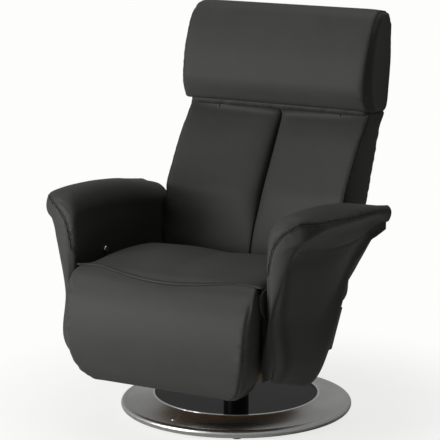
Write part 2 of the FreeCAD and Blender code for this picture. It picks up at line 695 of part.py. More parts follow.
def spring_foot(x, y):
    x0, x1 = fork_places(x)
    pin = rod_x(y, SPRING_FOOT_Z, EYE_PIN_R, x0, x1 + FORK_T)
    plates = [block(fork_x, fork_x + FORK_T, y - EYE_R, y + EYE_R, FLOOR_Z, SPRING_FOOT_Z + EYE_R - 2)
              for fork_x in (x0, x1)]
    return plates[0].fuse(plates[1]).fuse(pin)


def make_gas_springs():
    leg_end = lever_end(LEG_PIVOT_Y, LEG_PIVOT_Z, LEG_LEVER)
    back_end = lever_end(BACK_PIVOT_Y, BACK_PIVOT_Z, BACK_LEVER)
    gas_spring("legrest_gas_spring", LEG_SPRING_X, (LEG_SPRING_FOOT_Y, SPRING_FOOT_Z), leg_end,
               LEG_SPRING_TUBE_L, LEG_SPRING_ROD_L)
    gas_spring("back_gas_spring", LEVER_X, (BACK_SPRING_FOOT_Y, SPRING_FOOT_Z), back_end,
               BACK_SPRING_TUBE_L, BACK_SPRING_ROD_L)
    save("gas_spring_feet", spring_foot(LEG_SPRING_X, LEG_SPRING_FOOT_Y),
         spring_foot(LEVER_X, BACK_SPRING_FOOT_Y))


# Back

FRAME_FRONT_D = FRAME_D + STILE_W / 2
FRAME_REAR_D = FRAME_D - STILE_W / 2
STILE_END_X = STILE_X + STILE_T
UP = (math.sin(math.radians(BACK_TILT)), math.cos(math.radians(BACK_TILT)))


def on_back(s, d):
    # s runs up the back from its pivot, d towards the sitter
    return BACK_PIVOT_Y + s * UP[0] - d * UP[1], BACK_PIVOT_Z + s * UP[1] + d * UP[0]


def back_profile(front, rear):
    r = BACK_KNUCKLE_R
    top = (HEAD_PIVOT_Y + 4, HEAD_PIVOT_Z - BODY_GAP)
    fold = (HEAD_PIVOT_Y + 101, HEAD_PIVOT_Z - BODY_GAP - 9)
    return [
        on_back(0, r),
        (on_back(50, r + 20 + front * 0.1), on_back(110, 74 + front * 0.25)),
        (on_back(250, 74 + front), on_back(380, 64 + front * 0.8)),
        (on_back(445, 59 + front * 0.6), on_back(466, 62 + front * 0.4)),
        (top,),
        ((fold[0] - 12, fold[1]),),
        ((fold[0] - 3, fold[1] - 4), on_back(485, -12 + rear)),
        (on_back(260, -26 + rear), on_back(60, -34 + rear)),
        (on_back(20, -42 + rear / 2), on_back(0, -r)),
        (on_back(-r, 0), on_back(0, r))]


def back_cushion_half():
    # station: x, puff of the front, how far the rear is drawn in
    g = BACK_GROOVE_HALF_W
    w = BACK_HALF_W
    stations = [(g, 0, 0), (g + 26, BACK_PUFF * 0.45, 0), (0.4 * w, BACK_PUFF - 8, 0), (w - 66, BACK_PUFF + 4, 0),
                (w - 24, BACK_PUFF + 12, 0), (w - 7, BACK_PUFF + 14, 3), (w, BACK_PUFF + 2, 12)]
    return skin([closed_wire(back_profile(f, r), in_yz(x)) for x, f, r in stations])


def at_back_pivot(r, x0, x1):
    return rod_x(BACK_PIVOT_Y, BACK_PIVOT_Z, r, x0, x1)


def along_frame(s0, s1, d0, d1):
    return corners([on_back(s0, d0), on_back(s0, d1), on_back(s1, d1), on_back(s1, d0)])


def stile():
    outline = along_frame(-STILE_FOOT, STILE_L, FRAME_REAR_D, FRAME_FRONT_D)
    plate = slab_x(outline, STILE_X, STILE_END_X)
    bush_r = PIVOT_PIN_R + PIVOT_BUSH_WALL
    eye = at_back_pivot(bush_r + 12, STILE_X, STILE_END_X)
    bore = at_back_pivot(bush_r + RUNNING_FIT, STILE_X, STILE_END_X)
    return plate.fuse(eye).removeSplitter().cut(bore)


def back_rail(s):
    return slab_x(along_frame(s, s + RAIL_W, FRAME_REAR_D, FRAME_FRONT_D), -STILE_X, STILE_X)


def lever():
    end = lever_end(BACK_PIVOT_Y, BACK_PIVOT_Z, BACK_LEVER)
    pieces = []
    for x in fork_places(LEVER_X):
        outline = corners([on_back(LOW_RAIL_S + 4, FRAME_D - 2), on_back(LOW_RAIL_S + 4, FRAME_REAR_D),
                           (end[0] + EYE_R, end[1] - 6), (end[0] - 8, end[1] - 8),
                           (end[0] - 8, end[1] + 6)])
        pieces.append(slab_x(outline, x, x + FORK_T))
    return pieces


def back_board():
    outline = along_frame(BACK_BOARD_S, STILE_L, FRAME_REAR_D - BACK_BOARD_T, FRAME_REAR_D)
    return slab_x(outline, -STILE_END_X, STILE_END_X)


def back_straps():
    straps = []
    for i in range(BACK_STRAP_COUNT):
        s = BACK_BOARD_S + 10 + BACK_STRAP_PITCH * i
        outline = along_frame(s, s + STRAP_W, FRAME_FRONT_D, FRAME_FRONT_D + STRAP_T)
        straps.append(slab_x(outline, -STILE_END_X, STILE_END_X))
    return straps


def head_link(x, up):
    # one half of a ratchet fitting: an eye on the fold and a flat bar into its own cushion
    eye = rod_x(HEAD_PIVOT_Y, HEAD_PIVOT_Z, HEAD_HINGE_R, x, x + HEAD_HINGE_T)
    reach = 1 if up else -1
    foot_y = HEAD_PIVOT_Y + (62 if up else 14)
    foot_z = HEAD_PIVOT_Z + reach * (70 if up else 62)
    bar = slab_x(corners([(HEAD_PIVOT_Y - 9, HEAD_PIVOT_Z), (HEAD_PIVOT_Y + 12, HEAD_PIVOT_Z),
                          (foot_y + 12, foot_z), (foot_y - 12, foot_z)]), x, x + HEAD_HINGE_T)
    return eye.fuse(bar).removeSplitter()


def at_head_pivot(r, x0, x1):
    return rod_x(HEAD_PIVOT_Y, HEAD_PIVOT_Z, r, x0, x1)


def head_hinge_room():
    # free space round the head's fittings, near each end only
    outer = HEAD_HINGE_X + HEAD_HINGE_ROOM
    inner = HEAD_HINGE_X - 8
    return at_head_pivot(HEAD_HINGE_R + 1, -outer, outer).cut(at_head_pivot(60, -inner, inner))


def back_frame():
    pin_r = PIVOT_PIN_R + RUNNING_FIT
    bush = tube_x(BACK_PIVOT_Y, BACK_PIVOT_Z, pin_r + PIVOT_BUSH_WALL, pin_r, STILE_X, STILE_END_X)
    low_rail = back_rail(LOW_RAIL_S)
    for plate in lever():
        low_rail = low_rail.fuse(plate)
    link_xs = (HEAD_HINGE_X, -HEAD_HINGE_X - HEAD_HINGE_T)
    pin_hole = at_head_pivot(HEAD_PIN_R + RUNNING_FIT, -BACK_HALF_W, BACK_HALF_W)
    return {
        "back_stile_left": [stile()],
        "back_stile_right": [mirrored(stile())],
        "back_bushes": [bush, mirrored(bush)],
        "back_rails": [low_rail, back_rail(STILE_L - RAIL_W)],
        "back_webbing": back_straps(),
        "back_board": [back_board()],
        "head_hinge_lower": [head_link(x, False).cut(pin_hole) for x in link_xs]}


def back_free_space():
    spring_space = block(LEVER_X - 30, LEVER_X + 30, BACK_PIVOT_Y - 90, BACK_PIVOT_Y + 12,
                         BACK_PIVOT_Z - 90, BACK_PIVOT_Z + 4)
    outline = along_frame(-STILE_FOOT, STILE_L, FRAME_REAR_D, FRAME_FRONT_D)
    cavity = slab_x(outline, -STILE_END_X, STILE_END_X)
    hinge_r = BACK_KNUCKLE_R + 10
    hinge_left = at_back_pivot(hinge_r, STILE_END_X, BACK_HALF_W + 5)
    return [hinge_left, mirrored(hinge_left), head_hinge_room(), spring_space, cavity]


def hinge_plate():
    x0 = BOX_HALF_W
    x1 = BOX_HALF_W + HINGE_PLATE_T
    foot_y = BOX_REAR_Y - 24
    foot_top_z = BOX_TOP_Z - 28
    outline = corners([(foot_y - 64, FLOOR_Z + 10), (foot_y, FLOOR_Z + 10),
                       (BACK_PIVOT_Y + 14, BACK_PIVOT_Z - 14), (BACK_PIVOT_Y - 10, BACK_PIVOT_Z + 16),
                       (foot_y, foot_top_z), (foot_y - 64, foot_top_z)])
    return slab_x(outline, x0, x1).fuse(at_back_pivot(HINGE_EYE_R, x0, x1))


def pivot_pin():
    head_x = BOX_HALF_W + HINGE_PLATE_T
    head = at_back_pivot(PIVOT_HEAD_R, head_x, head_x + PIVOT_HEAD_T)
    return at_back_pivot(PIVOT_PIN_R, STILE_X, head_x).fuse(head)


def make_back():
    pieces = back_frame()
    inside = [shape for shapes in pieces.values() for shape in shapes]
    half = back_cushion_half()
    for name, body in (("left", half), ("right", mirrored(half))):
        body = cut_all(body, back_free_space() + inside)
        save("back_cushion_" + name, max(body.Solids, key=lambda solid: solid.Volume))
    for name in pieces:
        save(name, *pieces[name])
    pin = pivot_pin()
    plate = hinge_plate().cut(pin).removeSplitter()
    save("back_hinge_plate_left", plate)
    save("back_hinge_plate_right", mirrored(plate))
    save("back_pivot_pins", pin, mirrored(pin))


# Head

def head_profile(front, side, end):
    y = HEAD_PIVOT_Y
    z = HEAD_PIVOT_Z
    top = HEAD_TOP_Z - end
    foot = (y + 0.8 * (side + end), z + 1)
    return [
        foot,
        ((y - 18 - front * 0.4 + side + end, z + 7), (y - 24 - front * 0.5 + side + end, z + 29)),
        ((y - 14 - front + end, HEAD_BROW_Z), (y + 10 - front + end, HEAD_FACE_Z)),
        ((y + 16 + end, top - 25), (y + 52 + end, top)),
        ((y + 128 - end, top - 13), (y + 156 - end, top - 69)),
        ((y + 138 - end, HEAD_BROW_Z), (y + 112 - end, z + 14)),
        ((y + 106 - end, z + 3), (y + 92 - end, z - 3)),
        (foot,)]


def head_cushion():
    # station: x, puff of the front, how far the foot is drawn in, how far the end is drawn in
    stations = [(-HEAD_HALF_W, HEAD_PUFF - 12, 14, 16), (-HEAD_HALF_W + 7, HEAD_PUFF, 4, 4),
                (-HEAD_HALF_W + 24, HEAD_PUFF + 4, 0, 0), (-HEAD_HALF_W + 146, HEAD_PUFF - 2, 0, 0),
                (0, HEAD_PUFF - 4, 2, 0)]
    stations += [(-x, f, s, e) for x, f, s, e in reversed(stations[:-1])]
    return skin([closed_wire(head_profile(f, s, e), in_yz(x)) for x, f, s, e in stations])


def head_board():
    y0 = HEAD_PIVOT_Y + 60
    y1 = HEAD_PIVOT_Y + 86
    z0 = HEAD_PIVOT_Z + 40
    z1 = HEAD_TOP_Z - 60
    outline = corners([(y0, z0), (y0 + HEAD_BOARD_T, z0), (y1 + HEAD_BOARD_T, z1), (y1, z1)])
    half_w = HEAD_HALF_W - HEAD_BOARD_IN
    return slab_x(outline, -half_w, half_w)


def head_links(board):
    # the upper half of each fitting stands beside the lower one, on the same pin
    links = []
    pin_l = HEAD_HINGE_T + HEAD_HINGE_GAP + 0.1
    left_x = HEAD_HINGE_X + HEAD_HINGE_T + HEAD_HINGE_GAP
    right_x = -left_x - HEAD_HINGE_T
    for x, pin_x in ((left_x, HEAD_HINGE_X), (right_x, right_x + HEAD_HINGE_T - 0.1)):
        pin = at_head_pivot(HEAD_PIN_R, pin_x, pin_x + pin_l)
        links.append(head_link(x, True).fuse(pin).cut(board))
    return links


def make_head():
    board = head_board()
    links = head_links(board)
    cushion = cut_all(head_cushion(), [board, head_hinge_room()] + links)
    save("head_cushion", max(cushion.Solids, key=lambda solid: solid.Volume))
    save("head_board", board)
    save("head_hinge_upper", *links)


# Arms: cross-sections along Y, each with a flared top
# station: y from the front, then bottom, crest, lip and crease above the box bottom,
# how far the lip is drawn in, inset of the end, how far the crease moves out

ARM_FRONT_Y = BOX_FRONT_Y - 45.0
ARM_SHOULDER_DROP = 66.0       # from the crest down to the start of the roll
ARM_STATIONS = [
    (0.0, 24.0, 410.0, 382.0, 330.0, 46.0, 14.0, 0.0),
    (13.0, 12.0, 432.0, 406.0, 344.0, 22.0, 4.0, 0.0),
    (43.0, 6.0, 447.0, 415.0, 353.0, 6.0, 0.0, 0.0),
    (93.0, -10.0, 451.0, 414.0, 350.0, 0.0, 0.0, 0.0),
    (183.0, -32.0, 447.0, 410.0, 338.0, 2.0, 0.0, 0.0),
    (278.0, 46.0, 438.0, 406.0, 325.0, 5.0, 0.0, 0.0),
    (371.0, 198.0, 423.0, 402.0, 325.0, 6.0, 0.0, 0.0),
    (443.0, 278.0, 408.0, 392.0, 332.0, 10.0, 2.0, 10.0),
    (503.0, 320.0, 392.0, 380.0, 344.0, 14.0, 6.0, 22.0)]


def arm_section(y, bottom_h, crest_h, lip_h, crease_h, reach, inset, spread):
    bottom = BOX_BOTTOM_Z + bottom_h
    crest = BOX_BOTTOM_Z + crest_h
    lip = BOX_BOTTOM_Z + lip_h
    crease = BOX_BOTTOM_Z + crease_h
    x_in = ARM_INNER_X + inset
    x_lip = ARM_LIP_X - reach - inset
    x_crease = min(ARM_CREASE_X + spread, x_lip - 24) - inset
    x_out = ARM_OUTER_X - inset
    shoulder = crest - ARM_SHOULDER_DROP
    inner_low = min(max(bottom, BOX_BOTTOM_Z), shoulder - 10)
    if bottom >= shoulder - 10:
        inner_low = shoulder - 10
    flare_start = BOX_BOTTOM_Z + 10
    outer_low = x_out + (x_crease - x_out) * max(0.0, bottom - flare_start) / (LEG_PIVOT_Z - 69)
    crest_x = min(x_in + ARM_SHOULDER_DROP, x_lip - 34)
    lip_low = (x_lip - 24, lip - 26)
    crease_mid = ((lip_low[0] + x_crease) / 2 - 3, (lip_low[1] + crease) / 2 + 4)
    return closed_wire([
        (x_in, inner_low),
        ((x_in, shoulder),),
        ((x_in + 0.29 * ARM_SHOULDER_DROP, crest - 0.29 * ARM_SHOULDER_DROP), (crest_x, crest)),
        ((x_lip - 14, lip + 16), (x_lip, lip)),
        ((x_lip - 8, lip - 18), lip_low),
        (crease_mid, (x_crease, crease)),
        ((outer_low, bottom + 8),),
        ((outer_low - 3, bottom + 2), (outer_low - 10, bottom)),
        ((x_in, inner_low),)], in_xz(ARM_FRONT_Y + y))


def arm_pad():
    return skin([arm_section(*station) for station in ARM_STATIONS])


def arm_frame():
    front = ARM_FRONT_Y + 38
    z = BOX_BOTTOM_Z
    outline = corners([(front, z + 32), (front + 135, z + 10), (front + 215, z + 78),
                       (front + 311, z + 250), (front + 335, z + 350), (front, z + 350)])
    return slab_x(outline, ARM_BLOCK_X, ARM_BLOCK_X + ARM_FRAME_T)


def arm_bolt(y):
    head_x = BOX_HALF_W - PLY_T
    head = rod_x(y, ARM_BLOCK_Z, BOLT_HEAD_R, head_x - BOLT_HEAD_H, head_x)
    return head.fuse(rod_x(y, ARM_BLOCK_Z, BOLT_R, head_x, ARM_BLOCK_X + ARM_FRAME_T - 2))


def button_parts():
    face = ARM_INNER_X
    button = rod_x(BUTTON_Y, BUTTON_Z, BUTTON_R, face - BUTTON_PROUD, face + BUTTON_TRAVEL)
    stem = rod_x(BUTTON_Y, BUTTON_Z, BUTTON_R - 3, face, face + HOUSING_L / 2)
    button = button.fuse(stem)
    rim = [e for e in button.Edges if abs(e.CenterOfMass.x - (face - BUTTON_PROUD)) < 0.1]
    button = button.makeFillet(2.0, rim[:1])
    housing = rod_x(BUTTON_Y, BUTTON_Z, HOUSING_R, face - HOUSING_LIP, face + HOUSING_L)
    well_r = BUTTON_R + RUNNING_FIT
    well = rod_x(BUTTON_Y, BUTTON_Z, well_r, face - HOUSING_LIP - 0.5, face + HOUSING_L - 3)
    return mirrored(button), mirrored(housing.cut(well)), mirrored(housing)


def make_arms():
    bolts = [arm_bolt(y) for y in ARM_BLOCK_YS]
    half_w = ARM_BLOCK_W / 2
    half_h = ARM_BLOCK_H / 2
    blocks = [block(BOX_HALF_W, ARM_BLOCK_X, y - half_w, y + half_w,
                    ARM_BLOCK_Z - half_h, ARM_BLOCK_Z + half_h) for y in ARM_BLOCK_YS]
    frame = cut_all(arm_frame(), bolts)
    pad = cut_all(arm_pad(), [arm_frame()] + blocks + bolts)
    blocks = [cut_all(b, bolts) for b in blocks]
    button, housing, solid_housing = button_parts()
    pad_right = mirrored(pad).cut(solid_housing)
    save("arm_left", max(pad.Solids, key=lambda solid: solid.Volume))
    save("arm_right", max(pad_right.Solids, key=lambda solid: solid.Volume))
    save("arm_frame_left", frame)
    save("arm_frame_right", mirrored(frame).cut(solid_housing))
    save("arm_blocks", *(blocks + [mirrored(b) for b in blocks]))
    save("arm_bolts", *(bolts + [mirrored(b) for b in bolts]))
    save("release_button", button)
    save("button_housing", housing)


def main():
    make_base()
    mount_holes = make_swivel_head()
    make_seat_box(mount_holes)
    save("seat_cushion", seat_cushion())
    make_legrest()
    make_gas_springs()
    make_back()
    make_head()
    make_arms()


main()
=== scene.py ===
import math
import bmesh
import bpy
import numpy as np
from mathutils import Matrix, Vector, noise
from mathutils.bvhtree import BVHTree


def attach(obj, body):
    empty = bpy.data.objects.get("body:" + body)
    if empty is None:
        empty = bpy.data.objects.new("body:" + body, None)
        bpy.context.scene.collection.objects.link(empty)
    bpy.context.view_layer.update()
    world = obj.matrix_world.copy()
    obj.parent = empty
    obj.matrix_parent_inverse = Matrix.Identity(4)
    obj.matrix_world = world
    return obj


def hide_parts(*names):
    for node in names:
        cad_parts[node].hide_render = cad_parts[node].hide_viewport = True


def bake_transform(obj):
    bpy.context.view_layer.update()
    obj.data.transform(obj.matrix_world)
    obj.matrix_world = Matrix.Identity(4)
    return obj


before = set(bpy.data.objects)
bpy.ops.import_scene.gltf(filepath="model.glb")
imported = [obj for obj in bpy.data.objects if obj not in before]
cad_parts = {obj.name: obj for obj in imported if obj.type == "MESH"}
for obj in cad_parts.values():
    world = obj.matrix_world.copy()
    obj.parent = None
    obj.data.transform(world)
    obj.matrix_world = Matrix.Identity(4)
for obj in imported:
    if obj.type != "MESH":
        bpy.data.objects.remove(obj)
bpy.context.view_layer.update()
print("frame loaded")

# Covers and seam lines are worked out in millimetres, and turned into metres where they meet a mesh. The
# finishes, the stitches' own sizes, the ends of the blends and the places of camera and lamps are in metres.
metresPerMm = 0.001

camera = {
    "place": (2.8600, -5.0417, 1.7427),
    "azimuth": 30.009,
    "elevation": 11.788,
    "lens": 177.1,
    "sensor": 36.0,
    "farthest": 50,
}


def addObject(name, data):
    piece = bpy.data.objects.new(name, data)
    bpy.context.scene.collection.objects.link(piece)
    return piece


def aimCamera():
    a, e = math.radians(camera["azimuth"]), math.radians(camera["elevation"])
    back = Vector((math.sin(a) * math.cos(e), -math.cos(a) * math.cos(e), math.sin(e)))
    side = Vector((math.cos(a), math.sin(a), 0))
    data = bpy.data.cameras.new("camera")
    data.lens, data.sensor_width, data.clip_end = camera["lens"], camera["sensor"], camera["farthest"]
    eye = addObject("camera", data)
    turn = Matrix((side, back.cross(side), back)).transposed().to_4x4()
    eye.matrix_world = Matrix.Translation(camera["place"]) @ turn
    bpy.context.scene.camera = eye


# Materials


def newMaterial(name, color, roughness, **sockets):
    # the sockets are the shader's own, with _ for a space, for values that are the same all over
    material = bpy.data.materials.new(name)
    material.use_nodes = True
    shader = material.node_tree.nodes["Principled BSDF"]
    shader.inputs["Base Color"].default_value = (*color, 1)
    shader.inputs["Roughness"].default_value = roughness
    for socket, value in sockets.items():
        shader.inputs[socket.replace("_", " ")].default_value = value
    return material, shader


def treeNode(tree, kind, inputs=None, **settings):
    # a new node: inputs holds a plain value or another node's output for each socket
    node = tree.nodes.new(kind)
    for key, value in settings.items():
        setattr(node, key, value)
    for key, value in (inputs or {}).items():
        if isinstance(value, bpy.types.NodeSocket):
            tree.links.new(value, node.inputs[key])
        else:
            node.inputs[key].default_value = value
    return node


def addNode(material, kind, inputs=None, **settings):
    return treeNode(material.node_tree, kind, inputs, **settings)


def objectPlace(material, scale=(1, 1, 1)):
    place = addNode(material, "ShaderNodeTexCoord").outputs["Object"]
    return addNode(material, "ShaderNodeMapping", {"Vector": place, "Scale": scale}).outputs["Vector"]


def mixColors(material, amount, first, second):
    ramp = addNode(material, "ShaderNodeValToRGB", {"Fac": amount})
    ramp.color_ramp.elements[0].color = (*first, 1)
    ramp.color_ramp.elements[1].color = (*second, 1)
    return ramp.outputs["Color"]


def darker(color, share):
    return tuple(share * c for c in color)


def stretch(material, value, low, high):
    return addNode(material, "ShaderNodeMapRange",
                   {"Value": value, "To Min": low, "To Max": high}).outputs["Result"]


def link(material, value, shader, socket):
    material.node_tree.links.new(value, shader.inputs[socket])


def bumped(material, strength, distance, height, **under):
    inputs = {"Strength": strength, "Distance": distance, "Height": height, **under}
    return addNode(material, "ShaderNodeBump", inputs).outputs["Normal"]


leather = {
    "light": (0.052, 0.052, 0.0495),
    "dark": (0.038, 0.038, 0.036),
    "roughness": (0.46, 0.6),
    "grainScale": 620,
    "creaseScale": 60,
    "grainDepth": 0.00012,
    "creaseDepth": 0.0007,
}


def leatherFinish(name, look):
    material, shader = newMaterial(name, look["light"], 0.5, Specular_IOR_Level=0.12)
    place = objectPlace(material)
    cloud = addNode(material, "ShaderNodeTexNoise",
                    {"Vector": place, "Scale": 9.0, "Detail": 4.0, "Roughness": 0.6})
    grain = addNode(material, "ShaderNodeTexVoronoi", {"Vector": place, "Scale": look["grainScale"]},
                    feature="SMOOTH_F1")
    crease = addNode(material, "ShaderNodeTexNoise",
                     {"Vector": place, "Scale": look["creaseScale"], "Detail": 6.0, "Roughness": 0.65,
                      "Distortion": 0.6})
    link(material, mixColors(material, cloud.outputs["Fac"], look["dark"], look["light"]), shader,
         "Base Color")
    link(material, stretch(material, cloud.outputs["Fac"], *look["roughness"]), shader, "Roughness")
    wide = bumped(material, 0.6, look["creaseDepth"], crease.outputs["Fac"])
    fine = bumped(material, 0.7, look["grainDepth"], grain.outputs["Distance"], Normal=wide)
    link(material, fine, shader, "Normal")
    return material


def radialBrush(material):
    # distance from the swivel axis, so that the brushing runs round the ring
    parts = addNode(material, "ShaderNodeSeparateXYZ", {"Vector": objectPlace(material)})
    flat = addNode(material, "ShaderNodeCombineXYZ", {"X": parts.outputs["X"], "Y": parts.outputs["Y"]})
    reach = addNode(material, "ShaderNodeVectorMath", {"Vector": flat.outputs["Vector"]}, operation="LENGTH")
    return addNode(material, "ShaderNodeTexNoise",
                   {"W": reach.outputs["Value"], "Scale": 2600.0, "Detail": 3.0},
                   noise_dimensions="1D").outputs["Fac"]


def brushedSteelFinish(name, color=(0.55, 0.55, 0.54)):
    material, shader = newMaterial(name, color, 0.3, Metallic=1.0, Anisotropic=0.75)
    lines = radialBrush(material)
    link(material, stretch(material, lines, 0.2, 0.34), shader, "Roughness")
    link(material, mixColors(material, lines, darker(color, 0.85), color), shader, "Base Color")
    link(material, bumped(material, 0.25, 0.00008, lines), shader, "Normal")
    tangent = addNode(material, "ShaderNodeTangent", direction_type="RADIAL", axis="Z")
    link(material, tangent.outputs["Tangent"], shader, "Tangent")
    return material


def speckledFinish(name, color, other, roughness, scale, depth, **sockets):
    # paint, plastic, rubber or plating: a slow change of tone over a fine grain
    material, shader = newMaterial(name, color, roughness[0], **sockets)
    place = objectPlace(material)
    tone = addNode(material, "ShaderNodeTexNoise", {"Vector": place, "Scale": scale * 0.06, "Detail": 3.0})
    grain = addNode(material, "ShaderNodeTexNoise", {"Vector": place, "Scale": scale, "Detail": 5.0})
    link(material, mixColors(material, tone.outputs["Fac"], color, other), shader, "Base Color")
    link(material, stretch(material, grain.outputs["Fac"], *roughness), shader, "Roughness")
    link(material, bumped(material, 0.5, depth, grain.outputs["Fac"]), shader, "Normal")
    return material


def plywoodFinish(name):
    material, shader = newMaterial(name, (0.5, 0.33, 0.18), 0.6)
    along = objectPlace(material, (40, 3, 40))
    grain = addNode(material, "ShaderNodeTexNoise",
                    {"Vector": along, "Scale": 6.0, "Detail": 5.0, "Distortion": 0.8})
    plies = addNode(material, "ShaderNodeTexWave",
                    {"Vector": objectPlace(material), "Scale": 110.0, "Distortion": 0.4},
                    bands_direction="X")
    both = addNode(material, "ShaderNodeMath", {0: grain.outputs["Fac"], 1: plies.outputs["Fac"]},
                   operation="MULTIPLY")
    link(material, mixColors(material, both.outputs["Value"], (0.2, 0.125, 0.065), (0.36, 0.25, 0.15)),
         shader, "Base Color")
    link(material, bumped(material, 0.3, 0.0003, grain.outputs["Fac"]), shader, "Normal")
    return material


def webbingFinish(name):
    material, shader = newMaterial(name, (0.03, 0.03, 0.03), 0.85)
    ribs = [addNode(material, "ShaderNodeTexWave", {"Vector": objectPlace(material), "Scale": 260.0},
                    bands_direction=way)
            for way in ("X", "Y")]
    weave = addNode(material, "ShaderNodeMath", {0: ribs[0].outputs["Fac"], 1: ribs[1].outputs["Fac"]},
                    operation="MULTIPLY")
    link(material, mixColors(material, weave.outputs["Value"], (0.012, 0.012, 0.012), (0.06, 0.06, 0.058)),
         shader, "Base Color")
    link(material, bumped(material, 0.8, 0.0004, weave.outputs["Value"]), shader, "Normal")
    return material


def threadFinish(name, color):
    material, shader = newMaterial(name, color, 0.6)
    twist = addNode(material, "ShaderNodeTexNoise",
                    {"Vector": objectPlace(material), "Scale": 1500.0, "Detail": 2.0})
    link(material, mixColors(material, twist.outputs["Fac"], darker(color, 0.6), color), shader, "Base Color")
    return material


finishes = {
    "black_leather": leatherFinish("blackLeather", leather),
    "brushed_steel": brushedSteelFinish("brushedSteel"),
    "chrome": speckledFinish("chromePlate", (0.7, 0.7, 0.7), (0.62, 0.62, 0.62), (0.06, 0.14), 300, 0.00001,
                             Metallic=1.0),
    "dark_gloss": speckledFinish("darkGloss", (0.004, 0.004, 0.004), (0.007, 0.006, 0.006), (0.05, 0.1), 240,
                                 0.00001, IOR=1.12),
    "black_plastic": speckledFinish("blackPlastic", (0.02, 0.02, 0.02), (0.03, 0.03, 0.03), (0.45, 0.6), 900,
                                    0.00006),
    "black_rubber": speckledFinish("blackRubber", (0.016, 0.016, 0.016), (0.026, 0.025, 0.024), (0.75, 0.9),
                                   500, 0.0001),
    "black_steel": speckledFinish("blackSteel", (0.02, 0.02, 0.021), (0.035, 0.034, 0.033), (0.35, 0.5), 700,
                                  0.00005),
    "bright_steel": speckledFinish("brightSteel", (0.5, 0.5, 0.49), (0.4, 0.4, 0.4), (0.25, 0.4), 600,
                                   0.00003, Metallic=1.0),
    "plywood": plywoodFinish("plywood"),
    "webbing": webbingFinish("elasticWebbing"),
}
# the thread's own dark colour, darkened further with painted shade, so that the rows of stitches draw each
# seam as a dark line
threadWithSeamShade = threadFinish("sewingThreadWithSeamShade", (0.007, 0.007, 0.007))
leatherMaterial = finishes["black_leather"]


def finishNodes():
    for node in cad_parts.values():
        for place in node.material_slots:
            place.material = finishes[place.material.name.split(".")[0]]


# Curves and closed bodies


def eased(share):
    # 0 to 1 with a soft start and end
    return share * share * (3 - 2 * share)


def curved(t, start, leaving, end, arriving, span):
    # between two points at the shares t of the way, with the direction of the line at each of them
    return ((2 * t**3 - 3 * t**2 + 1) * start + (t**3 - 2 * t**2 + t) * leaving * span
            + (3 * t**2 - 2 * t**3) * end + (t**3 - t**2) * arriving * span)


def smoothTable(stations, places):
    # values of a table between its stations, with no overshoot
    table = np.array(sorted(stations), float)
    at, values = table[:, 0], table[:, 1:]
    gaps = np.diff(at)[:, None]
    slopes = np.diff(values, axis=0) / gaps
    tangents = np.zeros_like(values)
    tangents[0], tangents[-1] = slopes[0], slopes[-1]
    for i in range(1, len(at) - 1):
        before, after = slopes[i - 1], slopes[i]
        level = np.where(before * after > 0, 2 * before * after / (np.abs(before + after) + 1e-9), 0)
        tangents[i] = level * np.sign(before + after)
    places = np.clip(np.asarray(places, float), at[0], at[-1])
    k = np.clip(np.searchsorted(at, places) - 1, 0, len(at) - 2)
    span = gaps[k]
    t = ((places - at[k]) / span[:, 0])[:, None]
    return curved(t, values[k], tangents[k], values[k + 1], tangents[k + 1], span)


def closedLine(points, counts):
    # a smooth closed line through the points, with that many steps on each stretch
    points = np.asarray(points, float)
    ahead = np.roll(points, -1, axis=0) - points
    span = np.linalg.norm(ahead, axis=1)[:, None] + 1e-9
    slope = ahead / span
    spanBefore = np.roll(span, 1, axis=0)
    tangent = (slope * spanBefore + np.roll(slope, 1, axis=0) * span) / (span + spanBefore)
    line = []
    for i, count in enumerate(counts):
        k = (i + 1) % len(points)
        t = np.arange(count)[:, None] / count
        line.append(curved(t, points[i], tangent[i], points[k], tangent[k], span[i]))
    return np.vstack(line)


def stepCounts(points, spacing):
    # steps on each stretch of a closed line, so that they come out about equal; the total is even
    points = np.asarray(points, float)
    lengths = np.linalg.norm(np.roll(points, -1, axis=0) - points, axis=1)
    counts = [max(1, round(length / spacing)) for length in lengths]
    counts[int(np.argmax(lengths))] += sum(counts) % 2
    return counts


def newMesh(name, points, faces, material):
    mesh = bpy.data.meshes.new(name)
    mesh.from_pydata((np.asarray(points, float) * metresPerMm).tolist(), [], faces)
    mesh.materials.append(material)
    mesh.shade_smooth()
    return addObject(name, mesh)


capRound = {"along": 0.4, "across": 0.7}      # powers: the lower, the squarer the puffed end


def ladderCap(ring, first, outward, puff, columns, base):
    # closes one end with rungs from one side of the ring to the other; base is the next free vertex
    count = len(ring)
    half = count // 2
    near = [(first + j) % count for j in range(half)]
    far = [(first - 1 - j) % count for j in range(half)]
    points, faces = [], []
    shares = np.arange(1, columns + 1) / (columns + 1)
    for row, (a, b) in enumerate(zip(near, far)):
        if 0 < row < half - 1:
            along = math.sin(math.pi * row / (half - 1)) ** capRound["along"]
            for w in shares:
                swell = (4 * w * (1 - w)) ** capRound["across"]
                points.append(ring[a] * (1 - w) + ring[b] * w + outward * puff * along * swell)

    def rung(row):
        if row in (0, half - 1):
            return [("ring", near[row]), ("ring", far[row])]
        start = base + (row - 1) * columns
        return [("ring", near[row])] + [("own", start + c) for c in range(columns)] + [("ring", far[row])]

    for row in range(half - 1):
        low, high = rung(row), rung(row + 1)
        if len(low) == len(high):
            faces += [(low[c], low[c + 1], high[c + 1], high[c]) for c in range(len(low) - 1)]
        else:
            faces.append(tuple(low + high[::-1]))
    return points, faces


